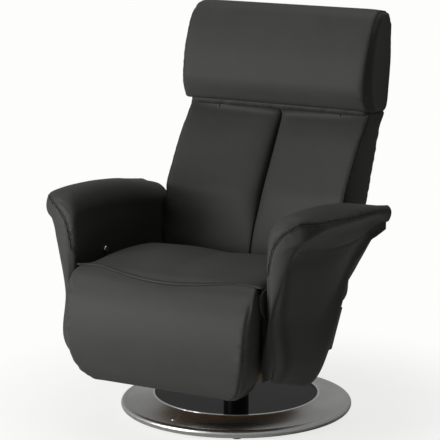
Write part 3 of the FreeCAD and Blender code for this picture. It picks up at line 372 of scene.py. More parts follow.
def ringBody(name, rings, caps):
    # a closed leather body through equal rings; caps: first rung, direction, puff and columns of each end
    rings = [np.asarray(r, float) for r in rings]
    count, last = len(rings[0]), len(rings) - 1
    points = list(np.vstack(rings))
    faces = []
    for i in range(last):
        for j in range(count):
            k = (j + 1) % count
            faces.append((i * count + j, i * count + k, (i + 1) * count + k, (i + 1) * count + j))
    for ringIndex, cap in ((0, caps[0]), (last, caps[1])):
        outward = np.array(cap["outward"], float)
        extra, capFaces = ladderCap(rings[ringIndex], cap["first"], outward, cap["puff"], cap["columns"],
                                    len(points))
        points += extra
        for face in capFaces:
            face = [ringIndex * count + v if where == "ring" else v for where, v in face]
            faces.append(tuple(face if ringIndex else face[::-1]))
    piece = newMesh(name, points, faces, leatherMaterial)
    faceOutwards(piece)
    return piece


weldDistance = 1e-6


def faceOutwards(piece):
    shape = bmesh.new()
    shape.from_mesh(piece.data)
    bmesh.ops.remove_doubles(shape, verts=shape.verts, dist=weldDistance)
    bmesh.ops.recalc_face_normals(shape, faces=shape.faces)
    shape.to_mesh(piece.data)
    shape.free()


def coordinates(piece):
    flat = np.zeros(len(piece.data.vertices) * 3, np.float32)
    piece.data.vertices.foreach_get("co", flat)
    return flat.reshape(-1, 3).astype(float)


def setCoordinates(piece, points):
    piece.data.vertices.foreach_set("co", np.asarray(points, np.float32).ravel())
    piece.data.update()


def vertexNormals(piece):
    flat = np.zeros(len(piece.data.vertices) * 3, np.float32)
    piece.data.vertex_normals.foreach_get("vector", flat)
    return flat.reshape(-1, 3).astype(float)


# Leg-rest and seat. They meet at a curved seam on the roll round the leg-rest's pivot.

roll = {
    "pivot": (-357, 414),
    "legrestRadius": 39.5,
    "underRadius": 34.5,
    "flapRadius": 40.6,
    "flapInside": 36.4,
    # degrees forward of the top: at the middle, at least, and what the corner adds
    "seamLow": 56,
    "seamLeast": 5,
    "corner": 12,
    # distances across: where the seam would come back to the top, and the corner's start and length
    "seamReach": 222,
    "cornerStart": 232,
    "cornerLength": 44,
}


def onRoll(angle, radius):
    a = math.radians(angle)
    return (roll["pivot"][0] - radius * math.sin(a), roll["pivot"][1] + radius * math.cos(a))


def seamAngle(x):
    x = abs(x)
    dip = roll["seamLow"] * (1 - (x / roll["seamReach"]) ** 2)
    turn = roll["corner"] * min(1, max(0, (x - roll["cornerStart"]) / roll["cornerLength"])) ** 1.5
    return max(dip, roll["seamLeast"]) + turn


legrest = {
    "frontWidth": [(143, 196), (150, 218), (166, 240), (194, 256), (232, 267), (273, 274), (325, 278),
                   (384, 279), (415, 279), (453, 270)],
    "rearWidth": 266,
    "narrowing": (-393, -379),      # from front to rear
    "ends": [0, 0.9, 0.97, 1.0],
    "step": 0.0225,
    "seamWidth": 268,
    "inset": [(0, 0), (0.85, -1), (0.93, -1.5), (0.97, 0), (0.985, 2.5), (1, 8)],
    "spacing": 7,
    "blend": ((0, -0.357, 0.447), (0, -0.357, 0.372)),
    # in the rear, for the gas spring's rod
    "pocket": {"middle": (-70, 321), "half": (27, 50), "edge": 9, "depth": 17, "behind": -350},
}


def fineStations(ends, spacing):
    # even steps between the given places, mirrored to the other side
    places = [0.0]
    for low, high in zip(ends, ends[1:]):
        steps = max(1, round((high - low) / spacing))
        places += [low + (high - low) * (i + 1) / steps for i in range(steps)]
    return [-p for p in places[:0:-1]] + places


def ringsAcross(form, profile, halfWidth):
    # rings from the right side to the left; halfWidth gives the half width at each point of a ring's line
    counts = stepCounts(profile(0), form["spacing"])
    rings = []
    for u in fineStations(form["ends"], form["step"]):
        line = closedLine(profile(u), counts)
        rings.append(np.column_stack((u * halfWidth(line), line)))
    return rings


def highest(ring):
    return int(np.argmax(ring[:, 2]))


def sideCaps(first, puff, columns):
    return [{"first": first, "outward": (side, 0, 0), "puff": puff, "columns": columns} for side in (-1, 1)]


def legrestProfile(u):
    s = seamAngle(u * legrest["seamWidth"])
    i = smoothTable(legrest["inset"], [abs(u)])[0][0]
    under, out = roll["underRadius"], roll["legrestRadius"]
    return [onRoll(-90, under + 2), onRoll(-45, under), onRoll(0.5 * s - 12, under),
            onRoll(s - 4, under + 0.4), onRoll(s + 1.5, out - 2.4), onRoll(s + 5, out - 0.2),
            onRoll(0.55 * s + 42, out + 3.4), (-411 + 0.4 * i, 410), (-428 + 0.8 * i, 377), (-440 + i, 328),
            (-443 + i, 268), (-434 + i, 215), (-413 + i, 167), (-396 + i, 151), (-375 + 0.3 * i, 148),
            (-356, 164), (-344, 190), (-337, 228), (-335, 290), (-333, 366), (-328, 392)]


def legrestWidth(line):
    front = smoothTable(legrest["frontWidth"], line[:, 1])[:, 0]
    share = eased(np.interp(line[:, 0], legrest["narrowing"], (0, 1)))
    return front * (1 - share) + np.minimum(front, legrest["rearWidth"]) * share


def makeLegrest():
    rings = ringsAcross(legrest, legrestProfile, legrestWidth)
    pocket = legrest["pocket"]
    for ring in rings:
        beyond = np.abs(ring[:, [0, 2]] - pocket["middle"]) - pocket["half"]
        share = np.clip(1 - beyond / pocket["edge"], 0, 1).min(axis=1) * (ring[:, 1] > pocket["behind"])
        ring[:, 1] -= eased(share) * pocket["depth"]
    return ringBody("legrest_cover", rings, sideCaps(highest(rings[0]), 5, 7))


seat = {
    "widthByPlace": [(-398, 280), (-352, 279), (-322, 268), (60, 266)],
    # place across, puff of the top, drop of the edge
    "stations": [(0, 4, 3), (0.41, 7, 0), (0.81, 4, 0), (0.93, 1, 4), (0.975, -3, 9), (1, -7, 19)],
    "spacing": 8,
    "ends": [0, 0.9, 1.0],
    "step": 0.026,
    "seamWidth": 279,
}


def seatProfile(u):
    s = seamAngle(u * seat["seamWidth"])
    puff, drop = smoothTable(seat["stations"], [abs(u)])[0]
    out, inside = roll["flapRadius"], roll["flapInside"]
    lift = puff - drop
    return [onRoll(s + 1.2, inside + 0.4), onRoll(s + 1.5, out - 1.2), onRoll(s - 4, out),
            onRoll(0.45 * s, out + 0.4 - 0.25 * drop), (-352, 455 + 0.3 * puff - 0.8 * drop),
            (-325, 457 + 0.6 * puff - drop), (-250, 462 + lift), (-170, 463 + lift), (-70, 455 + lift),
            (-10, 440 + lift), (26, 429 + 0.6 * lift), (48, 415 + 0.3 * lift), (57, 388), (56, 350),
            (50, 336), (38, 331.5), (-140, 331.5), (-300, 331.5), (-315, 338), (-317, 372),
            onRoll(-92, inside + 2.5), onRoll(-55, inside + 0.6), onRoll(-20, inside),
            onRoll(0.4 * s, inside)]


def makeSeat():
    rings = ringsAcross(seat, seatProfile, lambda line: smoothTable(seat["widthByPlace"], line[:, 0])[:, 0])
    return ringBody("seat_cover", rings, sideCaps(1, 2, 9))


# Back, in two halves

back = {
    "pivot": (112, 354),
    "lean": 25,
    # place across, front fullness, rear fullness
    "stations": [(0.8, -12, 0), (4, -2, 0), (12, 8, 0), (28, 15, 0), (60, 20, 0), (110, 24, 0), (170, 30, 0),
                 (215, 37, 0), (250, 44, 1), (268, 47, 3), (276, 46, 6), (280, 43, 9), (282.5, 36, 13)],
    "spacing": 8,
    "foot": [(300, 16), (350, 15), (430, 5), (500, 0), (900, 0)],      # height, how much narrower
    "halfWidth": 282,
    "middle": 110,
    "places": [0.8, 4, 8, 12, 18, 25, *range(33, 242, 8), 248, 254, 260, 265, 270, 274, 277.5, 280.5, 282.5],
}


def onBack(s, d):
    a = math.radians(back["lean"])
    return (back["pivot"][0] + s * math.sin(a) - d * math.cos(a),
            back["pivot"][1] + s * math.cos(a) + d * math.sin(a))


def backProfile(x):
    f, r = smoothTable(back["stations"], [x])[0]
    return [onBack(-4, 44), onBack(50, 64 + 0.1 * f), onBack(110, 75 + 0.2 * f), onBack(165, 77 + 0.62 * f),
            onBack(215, 77 + f), onBack(260, 74 + f), onBack(320, 68 + f), onBack(380, 63 + 0.9 * f),
            onBack(430, 59 + 0.68 * f), onBack(460, 60 + 0.52 * f), (237, 816), (258, 813), (300, 811),
            (334, 809), onBack(470, -14 + r), onBack(360, -20 + r), onBack(260, -26 + r),
            onBack(150, -31 + r), onBack(60, -35 + r), onBack(20, -42 + r / 2), onBack(-6, -44),
            onBack(-32, -30), onBack(-44, 2), onBack(-32, 30)]


def makeBack(name, side):
    counts = stepCounts(backProfile(back["middle"]), back["spacing"])
    half = back["halfWidth"]
    rings = []
    for x in back["places"]:
        line = closedLine(backProfile(x), counts)
        width = 1 - smoothTable(back["foot"], line[:, 1])[:, 0] * (x / half) ** 2 / half
        rings.append(np.column_stack((side * x * width, line)))
    top = highest(rings[0])
    return ringBody(name, rings, [{"first": top, "outward": (-side, 0, 0), "puff": 0, "columns": 7},
                                  {"first": top, "outward": (side, 0, 0), "puff": 2, "columns": 11}])


# Head cushion

head = {
    "top": 1095,
    # place across, front fullness, side rounding, end rounding
    "stations": [(0, 22, 2, 0), (0.51, 24, 1, 0), (0.8, 28, 0, 0), (0.92, 31, 0, 1), (0.97, 30, 2, 4),
                 (0.99, 25, 6, 9), (1, 17, 11, 15)],
    "widthByPlace": [(186, 294), (212, 298), (262, 297), (330, 292), (365, 286), (395, 272)],
    "spacing": 8,
    "ends": [0, 0.9, 0.97, 1.0],
    "step": 0.0255,
}


def headProfile(u):
    f, s, e = smoothTable(head["stations"], [abs(u)])[0]
    top = head["top"] - e
    return [(239 + 0.8 * (s + e), 823), (220 - 0.4 * f + s + e, 828), (216 - 0.6 * f + s + e, 848),
            (218 - f + 0.3 * s + e, 885), (224 - f + e, 930), (233 - f + e, 970), (248 - f + e, 1010),
            (254 - 0.5 * f + e, 1048), (263 + e, top - 16), (291 + e, top), (330 + 0.3 * e, top - 3),
            (367 - e, top - 15), (386 - e, top - 38), (394 - e, top - 74), (388 - e, 975), (377 - e, 930),
            (362 - e, 880), (350 - e, 838), (343 - e, 826), (331 - e, 819), (285, 820)]


def makeHead():
    rings = ringsAcross(head, headProfile, lambda line: smoothTable(head["widthByPlace"], line[:, 0])[:, 0])
    return ringBody("head_cover", rings, sideCaps(highest(rings[0]), -3, 9))


# Arms

arm = {
    # place, bottom, crest, lip height, lip reach, crease height, inset, drop of the inner wall
    "stations": [(-363, 214, 612, 586, -34, 528, 12, 0), (-361, 210, 618, 591, -24, 530, 8, 0),
                 (-355, 205, 626, 597, -12, 535, 4, 0), (-343, 200, 634, 602, -4, 540, 1, 0),
                 (-320, 196, 639, 605, 0, 543, 0, 0), (-270, 180, 641, 605, 0, 540, 0, 0),
                 (-180, 158, 638, 602, -2, 528, 0, 0), (-85, 236, 629, 596, -5, 515, 0, 0),
                 (-30, 318, 621, 594, -5, 515, 0, 20), (8, 378, 613, 592, -6, 515, 0, 40),
                 (80, 460, 598, 582, -10, 522, 2, 70), (140, 546, 584, 573, -12, 561, 5, 84)],
    "inner": 288,
    "lip": 415,
    "crease": 360,
    # height of the lower edge, how far out the wall stands there
    "flare": [(150, 334), (390, 334), (423, 338), (447, 347), (471, 359), (495, 372), (520, 385), (555, 400)],
    "round": 62,
    # place across, how far the nose lies back there, seen from above
    "sweep": [(300, 0), (340, 4), (370, 9), (390, 16), (405, 32), (416, 55)],
    "sweepReach": 150,
    "spacing": 7,
    "middle": -180,
    "capRing": 20,
    "places": [-363, -361.5, -359, -355.5, -351, -346, -340, -333, *range(-325, 124, 8), 130, 135, 140],
}


def armProfile(y):
    bottom, crest, lip, reach, crease, inset, drop = smoothTable(arm["stations"], [y])[0]
    inner, lipX = arm["inner"] + inset, arm["lip"] + reach
    outer = smoothTable(arm["flare"], [bottom])[0][0] - 2.2 * inset
    r = min(arm["round"], lipX - inner - 30)
    low = bottom + 0.5 * (min(crest - 80, crease) - bottom)
    creaseX = min(max(arm["crease"] - 0.5 * inset, outer + 4), lipX - 6)
    under = 24 - 17 * min(1, max(0, outer - 334) / 60)
    return [(inner, bottom + 8 - drop), (inner, low - 0.5 * drop), (inner, crest - r - 18),
            (inner + 0.05 * r, crest - 0.69 * r), (inner + 0.3 * r, crest - 0.29 * r),
            (inner + 0.64 * r, crest - 0.06 * r), (inner + r, crest),
            (0.5 * (inner + r + lipX) + 4, 0.55 * crest + 0.45 * lip + 8), (lipX - 12, lip + 17),
            (lipX - 2, lip + 7), (lipX, lip - 4), (lipX - under / 3, lip - 17), (lipX - under, lip - 28),
            (0.6 * creaseX + 0.4 * (lipX - under), 0.6 * crease + 0.4 * (lip - 28)), (creaseX, crease - 4),
            (0.75 * creaseX + 0.25 * outer, 0.7 * crease + 0.3 * low), (outer + 3, low), (outer, bottom + 10),
            (outer - 8, bottom + 1), (inner + 10, bottom - drop)]


def makeArm(name, side):
    counts = stepCounts(armProfile(arm["middle"]), arm["spacing"])
    rings = []
    for y in arm["places"]:
        line = closedLine(armProfile(y), counts)
        share = min(1, (y - arm["places"][0]) / arm["sweepReach"])
        laidBack = smoothTable(arm["sweep"], line[:, 0])[:, 0] * (1 - eased(share))
        rings.append(np.column_stack((side * line[:, 0], y + laidBack, line[:, 1])))
    top = highest(rings[arm["capRing"]])
    return ringBody(name, rings, [{"first": top, "outward": (0, -1, 0), "puff": 7, "columns": 7},
                                  {"first": top, "outward": (0, 1, 0), "puff": 5, "columns": 7}])


# Leather over the seat box: its sides and rear, an apron behind the leg-rest and a cheek round each bracket.
# The layers of a cover are its level from the inside out and how far the outline is drawn in there.

slabSpacing = 9
boxCover = {
    "outline": [(-320, 188), (68, 188), (130, 292), (103, 296), (61, 312), (50, 326), (-320, 326)],
    "layers": [(258.4, 0), (260.5, 0), (262.2, 0.6), (263.2, 2.5), (263.5, 7)],
}
apron = {
    "foot": 186,
    "edge": [(150, 186), (180, 188), (214, 194), (238, 201), (256, 214), (270, 236), (279, 262), (284, 308),
             (284, 361), (279, 413), (277, 437)],
    "slot": (-98, -42, 262),      # the gas spring's rod comes through here: from, to, lower end
    "top": 439,
    "layers": [(-318, 0), (-326, 0), (-329.5, 0.8), (-331.2, 3), (-331.6, 9)],
}
cheek = {
    "outline": [(-320, 443), (-345, 444), (-361, 440), (-371, 430), (-376, 416), (-374, 400), (-366, 386),
                (-355, 374), (-344, 362), (-335, 345), (-331.5, 310), (-331, 250), (-326, 214), (-320, 204)],
    "layers": [(279, 0), (281, 0), (283, 0.8), (284, 2.6), (284.3, 7)],
}
rearCover = {
    "foot": (68, 189),
    "slope": (0.512, 0.859),
    "outward": (0, 0.86, -0.51),
    "outline": [(-258, 0), (258, 0), (258, 60), (258, 120), (0, 120), (-258, 120), (-258, 60)],
    "layers": [(0.4, 0), (2.5, 0), (3.8, 0.7), (4.6, 2.4), (4.9, 7)],
}


def coverSlab(name, outline, layers, place, outward):
    # a flat padded cover: the outline at each layer, drawn in a little towards the outside
    counts = stepCounts(outline, slabSpacing)
    line = []
    for i, count in enumerate(counts):
        a, b = np.array(outline[i], float), np.array(outline[(i + 1) % len(outline)], float)
        line += [a + (b - a) * k / count for k in range(count)]
    line = np.array(line)
    inward = line.mean(axis=0) - line
    inward /= np.linalg.norm(inward, axis=1)[:, None]
    solid = [place(line + inward * shrink, level) for level, shrink in layers]
    first = int(np.argmax(line[:, 1] - 0.001 * line[:, 0]))
    outward = np.array(outward, float)
    return ringBody(name, solid, [{"first": first, "outward": tuple(-outward), "puff": 0, "columns": 5},
                                  {"first": first, "outward": tuple(outward), "puff": 1, "columns": 11}])


def onSide(side):
    return lambda line, x: np.column_stack((np.full(len(line), side * x), line))


def onFront(line, y):
    return np.column_stack((line[:, 0], np.full(len(line), y), line[:, 1]))


def onRear(line, level):
    along, up = rearCover["slope"]
    y0, z0 = rearCover["foot"]
    return np.column_stack((line[:, 0], y0 + line[:, 1] * along + level * up,
                            z0 + line[:, 1] * up - level * along))


def makeBoxCovers():
    pieces = []
    for side, name in ((-1, "right"), (1, "left")):
        pieces.append(coverSlab("box_cover_" + name, boxCover["outline"], boxCover["layers"], onSide(side),
                                (side, 0, 0)))
        pieces.append(coverSlab("cheek_" + name, cheek["outline"], cheek["layers"], onSide(side),
                                (side, 0, 0)))
    low, high, sill = apron["slot"]
    foot, edge, top = apron["foot"], apron["edge"], apron["top"]
    for name, outline in (("apron_left", [(high, foot)] + edge + [(high, top)]),
                          ("apron_right", [(-x, z) for x, z in edge[::-1]] + [(low, foot), (low, top)]),
                          ("apron_sill", [(low, foot), (high, foot), (high, sill), (low, sill)])):
        pieces.append(coverSlab(name, outline, apron["layers"], onFront, (0, -1, 0)))
    pieces.append(coverSlab("box_cover_rear", rearCover["outline"], rearCover["layers"], onRear,
                            rearCover["outward"]))
    return pieces


# Sewing: seams, darts, stitches and piping on the finished covers


def openLine(points, spacing):
    # a smooth open line through the points, in steps of about that length
    points = np.asarray(points, float)
    ahead = np.diff(points, axis=0)
    span = np.linalg.norm(ahead, axis=1)[:, None]
    slope = ahead / span
    between = (slope[:-1] * span[1:] + slope[1:] * span[:-1]) / (span[1:] + span[:-1])
    tangent = np.vstack((slope[:1], between, slope[-1:]))
    line = []
    for i in range(len(ahead)):
        t = np.linspace(0, 1, max(2, int(span[i, 0] / spacing * 2)), endpoint=False)[:, None]
        line.append(curved(t, points[i], tangent[i], points[i + 1], tangent[i + 1], span[i]))
    line = np.vstack(line + [points[-1:]])
    reach = np.concatenate(([0], np.cumsum(np.linalg.norm(np.diff(line, axis=0), axis=1))))
    steps = np.linspace(0, reach[-1], max(3, int(reach[-1] / spacing)))
    return np.column_stack([np.interp(steps, reach, line[:, k]) for k in range(3)])


def surfaceTree(piece):
    flat = coordinates(piece)
    return BVHTree.FromPolygons([Vector(p) for p in flat], [tuple(p.vertices) for p in piece.data.polygons])


def layOn(tree, points, lift=0.0):
    # points moved to the nearest place on the cover, with the cover's direction there
    placed, outward = [], []
    for p in points:
        near, normal, _, _ = tree.find_nearest(Vector(p) * metresPerMm)
        placed.append(np.array(near) / metresPerMm + np.array(normal) * lift)
        outward.append(np.array(normal))
    return np.array(placed), np.array(outward)


def finalMesh(piece):
    return bpy.data.meshes.new_from_object(piece.evaluated_get(bpy.context.evaluated_depsgraph_get()))


def applySmooth(piece):
    # a finer, smooth mesh becomes the piece's own, so that it can be shaped further
    smooth = piece.modifiers.new("smooth", "SUBSURF")
    smooth.levels = smooth.render_levels = 1
    shape = finalMesh(piece)
    piece.modifiers.clear()
    old = piece.data
    piece.data = shape
    bpy.data.meshes.remove(old)
    piece.data.name = piece.name


def waver(distance, seed, length):
    # a repeatable wave along a line, from about -1 to 1
    return noise.noise(Vector((distance / length, seed * 7.31, 0.4))) * 1.7


def sink(piece, line, seed, depth, width, pucker, reach, length):
    # draws the cover in along a line, and puckers it on both sides, which fades out at three times the reach
    points = coordinates(piece) / metresPerMm
    normals = vertexNormals(piece)
    farthest = 3 * reach
    low, high = line.min(axis=0) - farthest, line.max(axis=0) + farthest
    close = np.where(np.all((points > low) & (points < high), axis=1))[0]
    along = np.concatenate(([0], np.cumsum(np.linalg.norm(np.diff(line, axis=0), axis=1))))
    for k in close:
        gap = line - points[k]
        gap = np.einsum("ij,ij->i", gap, gap)
        i = int(np.argmin(gap))
        d = math.sqrt(gap[i])
        if d > farthest:
            continue
        wave = pucker * waver(along[i], seed, length) * math.exp(-((d / reach) ** 2)) * min(1, d / width)
        points[k] += normals[k] * (-depth * math.exp(-((d / width) ** 2)) + wave)
    setCoordinates(piece, points * metresPerMm)


def besideLine(line, outward, offset):
    # the line moved sideways on the cover
    tangent = np.gradient(line, axis=0)
    side = np.cross(tangent, outward)
    side /= np.linalg.norm(side, axis=1)[:, None] + 1e-9
    return line + side * offset


def lineObject(name, lines):
    # poly lines as plain edges, for the node trees below
    points, edges = [], []
    for line in lines:
        start = len(points)
        points += [tuple(p * metresPerMm) for p in line]
        edges += [(start + i, start + i + 1) for i in range(len(line) - 1)]
    mesh = bpy.data.meshes.new(name)
    mesh.from_pydata(points, edges, [])
    return addObject(name, mesh)


def newTree(name, inputs):
    tree = bpy.data.node_groups.new(name, "GeometryNodeTree")
    tree.interface.new_socket("Geometry", in_out="INPUT", socket_type="NodeSocketGeometry")
    for label, kind in inputs:
        tree.interface.new_socket(label, in_out="INPUT", socket_type=kind)
    tree.interface.new_socket("Geometry", in_out="OUTPUT", socket_type="NodeSocketGeometry")
    return tree, tree.nodes.new("NodeGroupInput"), tree.nodes.new("NodeGroupOutput")


def finishTree(tree, result, geometry, material):
    # what the tree has made comes out as one smooth mesh of one material
    real = treeNode(tree, "GeometryNodeRealizeInstances", {"Geometry": geometry})
    smooth = treeNode(tree, "GeometryNodeSetShadeSmooth", {"Geometry": real.outputs["Geometry"]})
    done = treeNode(tree, "GeometryNodeSetMaterial",
                    {"Geometry": smooth.outputs["Geometry"], "Material": material})
    tree.links.new(done.outputs["Geometry"], result.inputs["Geometry"])


def stitchTree():
    # a small rounded stitch at every step of each line
    sizes = [(label, "NodeSocketFloat") for label in ("Pitch", "Stitch Length", "Thickness")]
    tree, given, result = newTree("stitches", sizes + [("Thread", "NodeSocketMaterial")])
    pitch, length, thickness = [given.outputs[label] for label, _ in sizes]
    curve = treeNode(tree, "GeometryNodeMeshToCurve", {"Mesh": given.outputs["Geometry"]})
    spaced = treeNode(tree, "GeometryNodeResampleCurve", {"Curve": curve.outputs["Curve"], "Length": pitch},
                      mode="LENGTH")
    ball = treeNode(tree, "GeometryNodeMeshUVSphere", {"Segments": 6, "Rings": 4, "Radius": 0.5})
    size = treeNode(tree, "ShaderNodeCombineXYZ", {"X": thickness, "Y": thickness, "Z": length})
    tangent = treeNode(tree, "GeometryNodeInputTangent")
    turn = treeNode(tree, "FunctionNodeAlignEulerToVector", {"Vector": tangent.outputs["Tangent"]}, axis="Z")
    placed = treeNode(tree, "GeometryNodeInstanceOnPoints",
                      {"Points": spaced.outputs["Curve"], "Instance": ball.outputs["Mesh"],
                       "Rotation": turn.outputs["Rotation"], "Scale": size.outputs["Vector"]})
    finishTree(tree, result, placed.outputs["Instances"], given.outputs["Thread"])
    return tree


def pipingTree():
    # a round welt along each line
    tree, given, result = newTree("piping", [("Radius", "NodeSocketFloat"), ("Cover", "NodeSocketMaterial")])
    curve = treeNode(tree, "GeometryNodeMeshToCurve", {"Mesh": given.outputs["Geometry"]})
    ring = treeNode(tree, "GeometryNodeCurvePrimitiveCircle",
                    {"Resolution": 8, "Radius": given.outputs["Radius"]})
    welt = treeNode(tree, "GeometryNodeCurveToMesh",
                    {"Curve": curve.outputs["Curve"], "Profile Curve": ring.outputs["Curve"],
                     "Fill Caps": True})
    finishTree(tree, result, welt.outputs["Mesh"], given.outputs["Cover"])
    return tree


def grown(piece, tree, values):
    # runs a node tree on the piece and keeps only the plain mesh that it makes
    growth = piece.modifiers.new("growth", "NODES")
    growth.node_group = tree
    for socket in tree.interface.items_tree:
        if socket.item_type == "SOCKET" and socket.in_out == "INPUT" and socket.name in values:
            growth[socket.identifier] = values[socket.name]
    bpy.context.view_layer.update()
    mesh = finalMesh(piece)
    piece.modifiers.clear()
    piece.data = mesh
    mesh.name = piece.name
    faceOutwards(piece)
    return piece


sewing = {
    "lineSpacing": 2.0,
    "rowOffset": 3.3,
    "lift": 0.8,
    # in metres
    "pitch": 0.0058,
    "stitchLength": 0.0052,
    "thickness": 0.003,
    "weltRadius": 0.0019,
}
stitchRows = {"seat": [], "headrest": []}
backWelts = []


def sewSeam(piece, points, look, seed):
    # a stitched seam: the cover is drawn in along it, and rows of stitches lie beside it
    line, _ = layOn(surfaceTree(piece), openLine(points, sewing["lineSpacing"]))
    sink(piece, line, seed, *look["drawnIn"])
    tree = surfaceTree(piece)
    line, outward = layOn(tree, line)
    for side in look["rows"]:
        row, _ = layOn(tree, besideLine(line, outward, side * sewing["rowOffset"]), sewing["lift"])
        stitchRows[look["body"]].append(row[2:-2])
    return line


def finishCover(piece, body):
    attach(piece, body)


def makeStitches():
    tree = stitchTree()
    values = {"Pitch": sewing["pitch"], "Stitch Length": sewing["stitchLength"],
              "Thickness": sewing["thickness"], "Thread": threadWithSeamShade}
    for body, rows in stitchRows.items():
        finishCover(grown(lineObject("stitches_" + body, rows), tree, values), body)


def makeWelts():
    values = {"Radius": sewing["weltRadius"], "Cover": leatherMaterial}
    finishCover(grown(lineObject("piping_backrest", backWelts), pipingTree(), values), "backrest")


# Seams of each cover, for its left side; the other side is the mirror image. Drawn in: depth, width, pucker,
# reach of the pucker and length of its waves. Rows: on which sides of the seam the stitches lie, 0 for on it.

seams = {
    "legrestSide": {
        "points": [(272, -408, 408), (273, -424, 380), (273, -436, 335), (271, -440, 290), (265, -437, 245),
                   (252, -428, 200), (236, -414, 170), (215, -398, 153)],
        "drawnIn": (4.0, 4.5, 2.6, 15, 10), "seed": 2, "rows": ()},
    "headFront": {
        "points": [(287, 380, 1060), (287, 330, 1092), (287, 290, 1092), (288, 255, 1066), (289, 232, 1030),
                   (290, 214, 985), (290, 200, 930), (289, 193, 890), (288, 200, 850), (286, 222, 829)],
        "drawnIn": (3.0, 3.4, 1.4, 14, 10), "seed": 5, "rows": (1,), "body": "headrest"},
    "headRear": {
        "points": [(279, 398, 1026), (276, 384, 950), (274, 370, 900), (274, 350, 842)],
        "drawnIn": (2.0, 3.2, 1.0, 12, 10), "seed": 8, "rows": ()},
    "armNose": {
        "points": [(299, -337, 442), (301, -345, 468), (303, -353, 494), (305, -358, 517), (308, -363, 539),
                   (315, -363, 559), (330, -361, 581), (351, -354, 602), (366, -349, 611), (380, -342, 620),
                   (391, -329, 622), (403, -314, 622), (410, -290, 620), (411, -230, 614), (410, -166, 606),
                   (409, -90, 600), (408, -17, 595), (402, 60, 588), (399, 128, 578)],
        "drawnIn": (2.2, 3.4, 1.2, 12, 8), "seed": 11, "rows": (-1, 1), "body": "seat"},
    "armCrease": {
        "points": [(352, -318, 550), (360, -240, 536), (360, -160, 522), (361, -60, 514), (364, 40, 514),
                   (370, 110, 521)],
        "drawnIn": (2.4, 6.0, 0.8, 16, 14), "seed": 14, "rows": ()},
    "backEdge": {
        "points": [(281, *onBack(s, d)) for s, d in ((455, 84), (440, 87), (390, 102), (300, 118), (230, 125),
                                                     (188, 120), (135, 102), (70, 74))],
        "drawnIn": (1.4, 3.0, 1.2, 15, 10), "seed": 17, "rows": ()},
    "backRear": {
        "points": [(276, *onBack(s, d)) for s, d in ((462, -8), (380, -12), (300, -17), (200, -24),
                                                     (110, -30))],
        "drawnIn": (1.8, 3.2, 1.2, 14, 11), "seed": 20, "rows": ()},
}
flapSeam = {
    "points": [(x, *onRoll(seamAngle(x) - 8, roll["flapRadius"] + 0.4)) for x in np.linspace(-262, 262, 81)],
    "drawnIn": (0.7, 3.0, 0.5, 10, 9), "seed": 31, "rows": (0,), "body": "seat"}
neck = {
    "outline": [(221, 824), (225, 813), (246, 807), (300, 803), (336, 801), (346, 812), (349, 826),
                (344, 838), (300, 836), (246, 838), (232, 833)],
    "halfWidth": 279,
    "spacing": 5,
    "rings": 113,
    "wrinkle": {"depth": 2.2, "length": 15, "reach": 280, "slant": 9, "turn": 0.35, "seed": 3},
    # shares of the half width: where the end starts, its length, and of the outline: how far it is drawn in
    "end": (0.97, 0.03, 0.16),
    "blend": ((0, 0.239, 0.811), (0, 0.239, 0.838)),
}


def makeNeck():
    # the folded leather between the back and the head cushion
    line = closedLine(neck["outline"], stepCounts(neck["outline"], neck["spacing"]))
    middle = line.mean(axis=0)
    out = (line - middle) / np.linalg.norm(line - middle, axis=1)[:, None]
    wrinkle = neck["wrinkle"]
    start, length, narrower = neck["end"]
    rings = []
    for x in np.linspace(-1, 1, neck["rings"]):
        end = max(0, abs(x) - start) / length
        slants = [wrinkle["slant"] * math.sin(i * wrinkle["turn"]) for i in range(len(line))]
        fold = [waver(x * wrinkle["reach"] + slant, wrinkle["seed"], wrinkle["length"]) for slant in slants]
        folded = middle + (line - middle) * (1 - narrower * end ** 2)
        folded = folded + out * np.array(fold)[:, None] * wrinkle["depth"]
        rings.append(np.column_stack((np.full(len(line), x * neck["halfWidth"]), folded)))
    return ringBody("neck_fold", rings, sideCaps(int(np.argmax(line[:, 1])), 2, 7))


def sewCovers():
    for side, arm, half in ((1, armLeft, backLeft), (-1, armRight, backRight)):
        for name, piece in (("legrestSide", legrestCover), ("headFront", headCover), ("headRear", headCover),
                            ("armNose", arm), ("armCrease", arm), ("backEdge", half), ("backRear", half)):
            look = seams[name]
            points = np.array(look["points"], float) * (side, 1, 1)
            line = sewSeam(piece, points, look, look["seed"] + side)
            if name == "backEdge":
                backWelts.append(line)
    sewSeam(seatCover, flapSeam["points"], flapSeam, flapSeam["seed"])


finishNodes()
legrestCover, seatCover, headCover = makeLegrest(), makeSeat(), makeHead()
backLeft, backRight = makeBack("back_cover_left", 1), makeBack("back_cover_right", -1)
armLeft, armRight = makeArm("arm_cover_left", 1), makeArm("arm_cover_right", -1)
boxSides, neckFold = makeBoxCovers(), makeNeck()
print("covers made")
for piece in (legrestCover, seatCover, headCover, backLeft, backRight, armLeft, armRight):
    applySmooth(piece)
sewCovers()
print("covers sewn")
for piece in boxSides:
    finishCover(piece, "seat")
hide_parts("legrest_cushion")
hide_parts("seat_cushion")
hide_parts("back_cushion_left")
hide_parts("back_cushion_right")
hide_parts("head_cushion")
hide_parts("arm_left")
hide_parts("arm_right")
for piece, body in ((seatCover, "seat"), (headCover, "headrest"), (backLeft, "backrest"),
                    (backRight, "backrest"), (armLeft, "seat"), (armRight, "seat")):
    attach(piece, body)
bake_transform(legrestCover)
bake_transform(neckFold)
makeStitches()
makeWelts()
print("stitches and piping made")


# Floor, background and light

